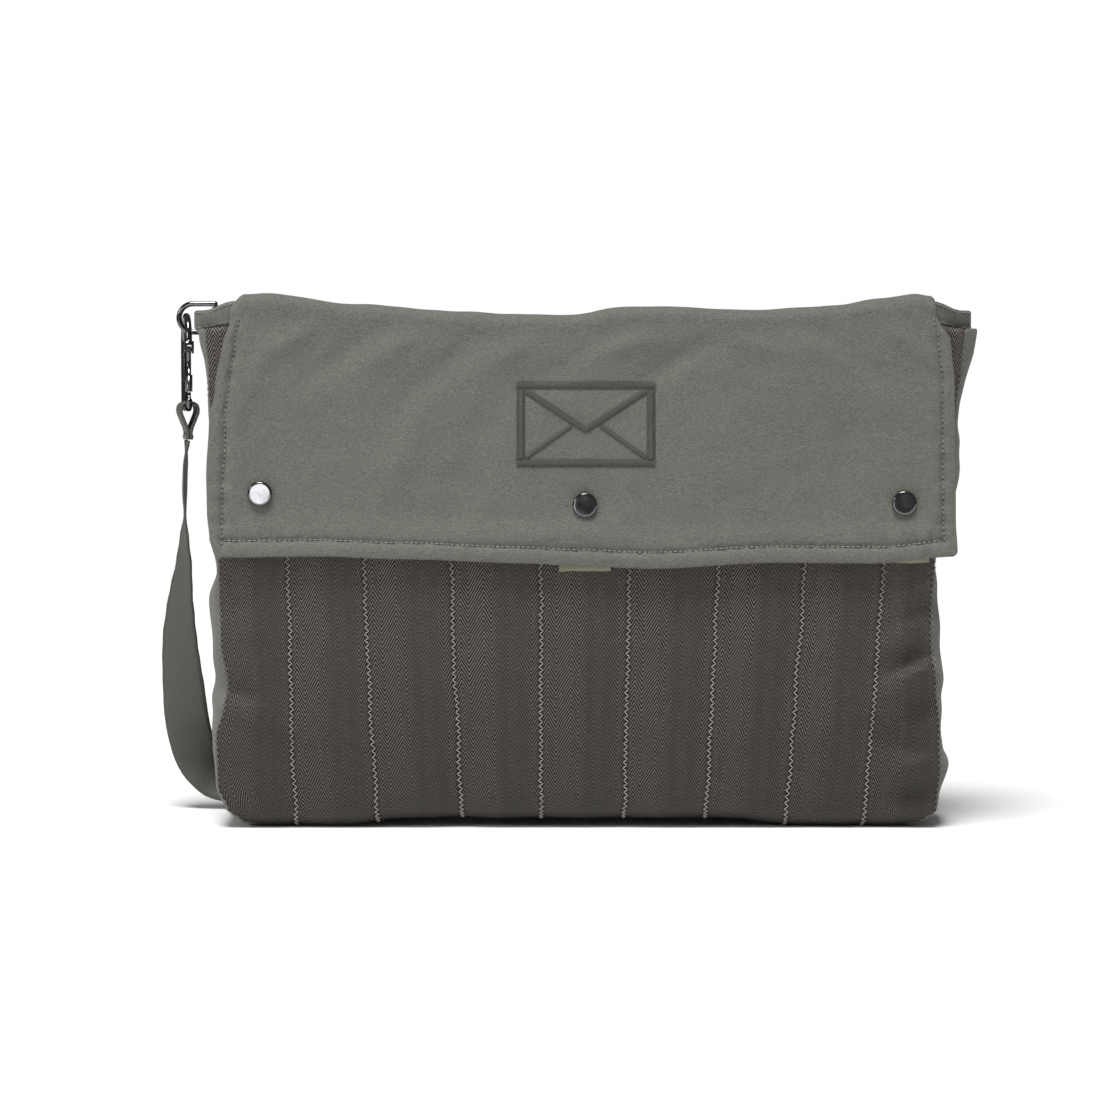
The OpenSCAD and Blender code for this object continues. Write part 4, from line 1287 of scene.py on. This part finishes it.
def make_strap_loop(side):
    """The strap's end folded over the hook's lower bar and sewn to itself."""
    origin, turn = hook_origin(side)
    bar_z = -52.7 * MM
    bow = (4.6 if side == "left" else 3.2) * MM
    gap = STRAP_T / 2 + 0.15 * MM
    leg = [(gap, -LOOP_END), (gap, -LOOP_END + 5 * MM), (0.55 * bow, bar_z - 8 * MM), (bow, bar_z - 2.5 * MM)]
    path = [(-y, z) for y, z in leg]
    for k in range(7):
        a = math.pi * k / 6
        path.append((-bow * math.cos(a), bar_z + 0.2 * MM + 3.0 * MM * math.sin(a)))
    path += reversed(leg)
    spin = Matrix.Translation(origin) @ Matrix.Rotation(turn, 4, "Z")
    wide = spin.to_3x3() @ Vector((1, 0, 0))
    points = [(spin @ Vector((0, y, z)), wide) for y, z in path]
    walk = curve_walk(points, 1.5 * MM)
    loop = ribbon(f"{side}_loop_webbing", walk, STRAP_W - 1 * MM, finish("strap webbing"))
    goes(loop, f"{side}_hook", "strap_webbing", f"{side}_strap_loop")
    runs = []
    face_y = gap + STRAP_T / 2 + 0.15 * MM
    for z0 in (-LOOP_END + 1.5 * MM, -LOOP_END + 5.5 * MM):
        row = []
        for k in range(30):
            x = (-10.5 + 21 * k / 29) * MM
            row.append(spin @ Vector((x, face_y, z0 + 0.8 * MM * (1 if k % 2 else -1))))
        runs.append(row)
        runs.append([spin @ Vector((x, -y, z)) for x, y, z in (spin.inverted() @ p for p in row)])
    tack = thread(f"{side}_bar_tack", runs, 0.25 * MM, finish("topstitch thread"))
    goes(tack, f"{side}_hook", "strap_webbing")
    return loop


def make_hardware():
    for side in ("left", "right"):
        polished(f"{side}_ring", f"{side}_ring", finish("black nickel"))
        polished(f"{side}_hook", f"{side}_hook", finish("black nickel"))
        polished(f"{side}_gate", f"{side}_gate", finish("black nickel"))
        polished(f"{side}_gate_pin", f"{side}_hook", finish("black nickel"))
        polished(f"{side}_gate_spring", f"{side}_hook", finish("spring wire"))
        make_ring_tab(side)


def make_ring_tab(side):
    """A folded tab of cloth round a ring's bar, sewn behind the hem's corner."""
    low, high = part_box(f"{side}_ring")
    bar = Vector(((high.x - 1.5 * MM) if side == "left" else (low.x + high.x) / 2,
                  (low.y + high.y) / 2 if side == "left" else low.y + 1.5 * MM, (low.z + high.z) / 2))
    r = 2.4 * MM
    end_x = bar.x + (14 if side == "left" else 20) * MM
    path = [(end_x, bar.y + 1.2 * MM), (bar.x + 4 * MM, bar.y + 1.8 * MM)]
    path += [(bar.x - r * math.sin(math.pi * k / 6), bar.y + r * math.cos(math.pi * k / 6)) for k in range(7)]
    path += [(bar.x + 4 * MM, bar.y - 1.8 * MM), (end_x, bar.y - 1.4 * MM)]
    points = [(Vector((x, y, bar.z)), Vector((0, 0, 1))) for x, y in path]
    tab = ribbon(f"{side}_ring_loop", curve_walk(points, 1.2 * MM), 9.6 * MM, finish("flap cloth"), 1.1 * MM)
    goes(tab, "root", "flap_cloth", f"{side}_ring_tab")


# Stage


def make_stage():
    scene = bpy.context.scene
    eye = bpy.data.cameras.new("camera")
    eye.lens = 100
    eye.sensor_width = 36
    eye.clip_end = 200
    camera = bpy.data.objects.new("camera", eye)
    bpy.context.collection.objects.link(camera)
    target = Vector((-0.0123, -0.035, 0.1444))
    tilt, far = math.radians(3), 1.664
    camera.location = target + Vector((0, -far * math.cos(tilt), far * math.sin(tilt)))
    camera.rotation_euler = (target - camera.location).to_track_quat("-Z", "Y").to_euler()
    scene.camera = camera

    material, tree, main_shader, coords = shader("pale floor")
    main_shader.inputs["Roughness"].default_value = 0.9
    main_shader.inputs["Specular IOR Level"].default_value = 0.1
    tone = mixed(tree, grain(tree, coords, 3, 2), (0.9, 0.9, 0.895), (0.93, 0.93, 0.925))
    tree.links.new(tone, main_shader.inputs["Base Color"])
    # The floor is no larger than this, so that the snap caps reflect the dim room beyond it
    floor_size = 4.2

    def floor_point(u, v):
        return Vector((floor_size * (u - 0.5), floor_size * (v - 0.5), -0.5 * MM))

    in_scene("floor", cloth_mesh("floor", 8, 8, floor_point, lambda u, v: (u, v), (0, 0, -3)),
                      material)

    # The room is white to look at, and dim to light and reflect
    world = bpy.data.worlds.new("soft room")
    world.use_nodes = True
    room = world.node_tree
    seen = add(room, "ShaderNodeLightPath").outputs["Is Camera Ray"]
    back = room.nodes["Background"]
    back.inputs["Color"].default_value = (1, 1, 1, 1)
    room.links.new(ramp(room, seen, [(0, 0.14), (1, 1.0)]), back.inputs["Strength"])
    scene.world = world

    def aimed(name, lamp, place, aim):
        light = bpy.data.objects.new(name, lamp)
        light.location = place
        light.rotation_euler = (Vector(aim) - Vector(place)).to_track_quat("-Z", "Y").to_euler()
        light.visible_camera = False
        bpy.context.collection.objects.link(light)

    middle = (0, 0, 0.15)
    sky = bpy.data.lights.new("sky", "SUN")
    sky.energy = 3.6
    sky.angle = math.radians(26)
    aimed("sky", sky, (-0.16, -0.62, 1.9), middle)
    for name, place, aim, size, power in (("key", (-1.5, -1.0, 0.9), middle, 0.5, 7),
                                          ("card", (-0.342, -1.78, 0.126), SNAPS[0][1], 0.24, 1.2)):
        lamp = bpy.data.lights.new(name, "AREA")
        lamp.size = size
        lamp.energy = power
        aimed(name, lamp, place, aim)
    scene.view_settings.view_transform = "Standard"
    scene.view_settings.look = "None"


# Operators


class MAILBAG_OT_stage(bpy.types.Operator):
    """Make the floor, the lights and the camera"""

    bl_idname = "mailbag.stage"
    bl_label = "Stage"

    def execute(self, context):
        make_stage()
        return {"FINISHED"}


class MAILBAG_OT_strap(bpy.types.Operator):
    """Make the shoulder strap, its loops and its slider"""

    bl_idname = "mailbag.strap"
    bl_label = "Shoulder strap"

    def execute(self, context):
        make_strap()
        return {"FINISHED"}


class MAILBAG_OT_hardware(bpy.types.Operator):
    """Make the rings, hooks, gates and ring tabs"""

    bl_idname = "mailbag.hardware"
    bl_label = "Rings and hooks"

    def execute(self, context):
        make_hardware()
        return {"FINISHED"}


class MAILBAG_OT_body(bpy.types.Operator):
    """Make the webbing strips, their seams and the padding"""

    bl_idname = "mailbag.body"
    bl_label = "Webbing body"

    def execute(self, context):
        make_strips(context.scene.mail_bag)
        make_zigzags(context.scene.mail_bag)
        make_pads()
        return {"FINISHED"}


class MAILBAG_OT_sides(bpy.types.Operator):
    """Make the side panels, the hem round the mouth and the lining"""

    bl_idname = "mailbag.sides"
    bl_label = "Sides and mouth"

    def execute(self, context):
        make_gussets()
        make_mouth(context.scene.mail_bag)
        return {"FINISHED"}


class MAILBAG_OT_flap(bpy.types.Operator):
    """Make the flap with its hem, padding, lining and badge"""

    bl_idname = "mailbag.flap"
    bl_label = "Flap"

    def execute(self, context):
        make_flap(context.scene.mail_bag)
        make_badge(context.scene.mail_bag)
        return {"FINISHED"}


class MAILBAG_OT_snaps(bpy.types.Operator):
    """Make the three press snaps and their tabs"""

    bl_idname = "mailbag.snaps"
    bl_label = "Snaps"

    def execute(self, context):
        make_snaps()
        return {"FINISHED"}


OPERATORS = (MAILBAG_OT_stage, MAILBAG_OT_strap, MAILBAG_OT_hardware, MAILBAG_OT_body,
             MAILBAG_OT_sides, MAILBAG_OT_flap, MAILBAG_OT_snaps)


class MAILBAG_PT_panel(bpy.types.Panel):
    """The bag's settings and the steps that build it"""

    bl_idname = "MAILBAG_PT_panel"
    bl_label = "Mail bag"
    bl_space_type = "VIEW_3D"
    bl_region_type = "UI"
    bl_category = "Mail bag"

    def draw(self, context):
        for key in MailBagSettings.__annotations__:
            self.layout.prop(context.scene.mail_bag, key)
        for step in OPERATORS:
            self.layout.operator(step.bl_idname)


CLASSES = (MailBagSettings, *OPERATORS, MAILBAG_PT_panel)


def register():
    for kind in CLASSES:
        bpy.utils.register_class(kind)
    bpy.types.Scene.mail_bag = PointerProperty(type=MailBagSettings)


def unregister():
    del bpy.types.Scene.mail_bag
    for kind in reversed(CLASSES):
        bpy.utils.unregister_class(kind)


def main():
    register()
    bpy.ops.mailbag.stage()
    bpy.ops.mailbag.strap()
    bpy.ops.mailbag.hardware()
    bpy.ops.mailbag.body()
    bpy.ops.mailbag.sides()
    bpy.ops.mailbag.flap()
    bpy.ops.mailbag.snaps()


if __name__ == "__main__":
    main()
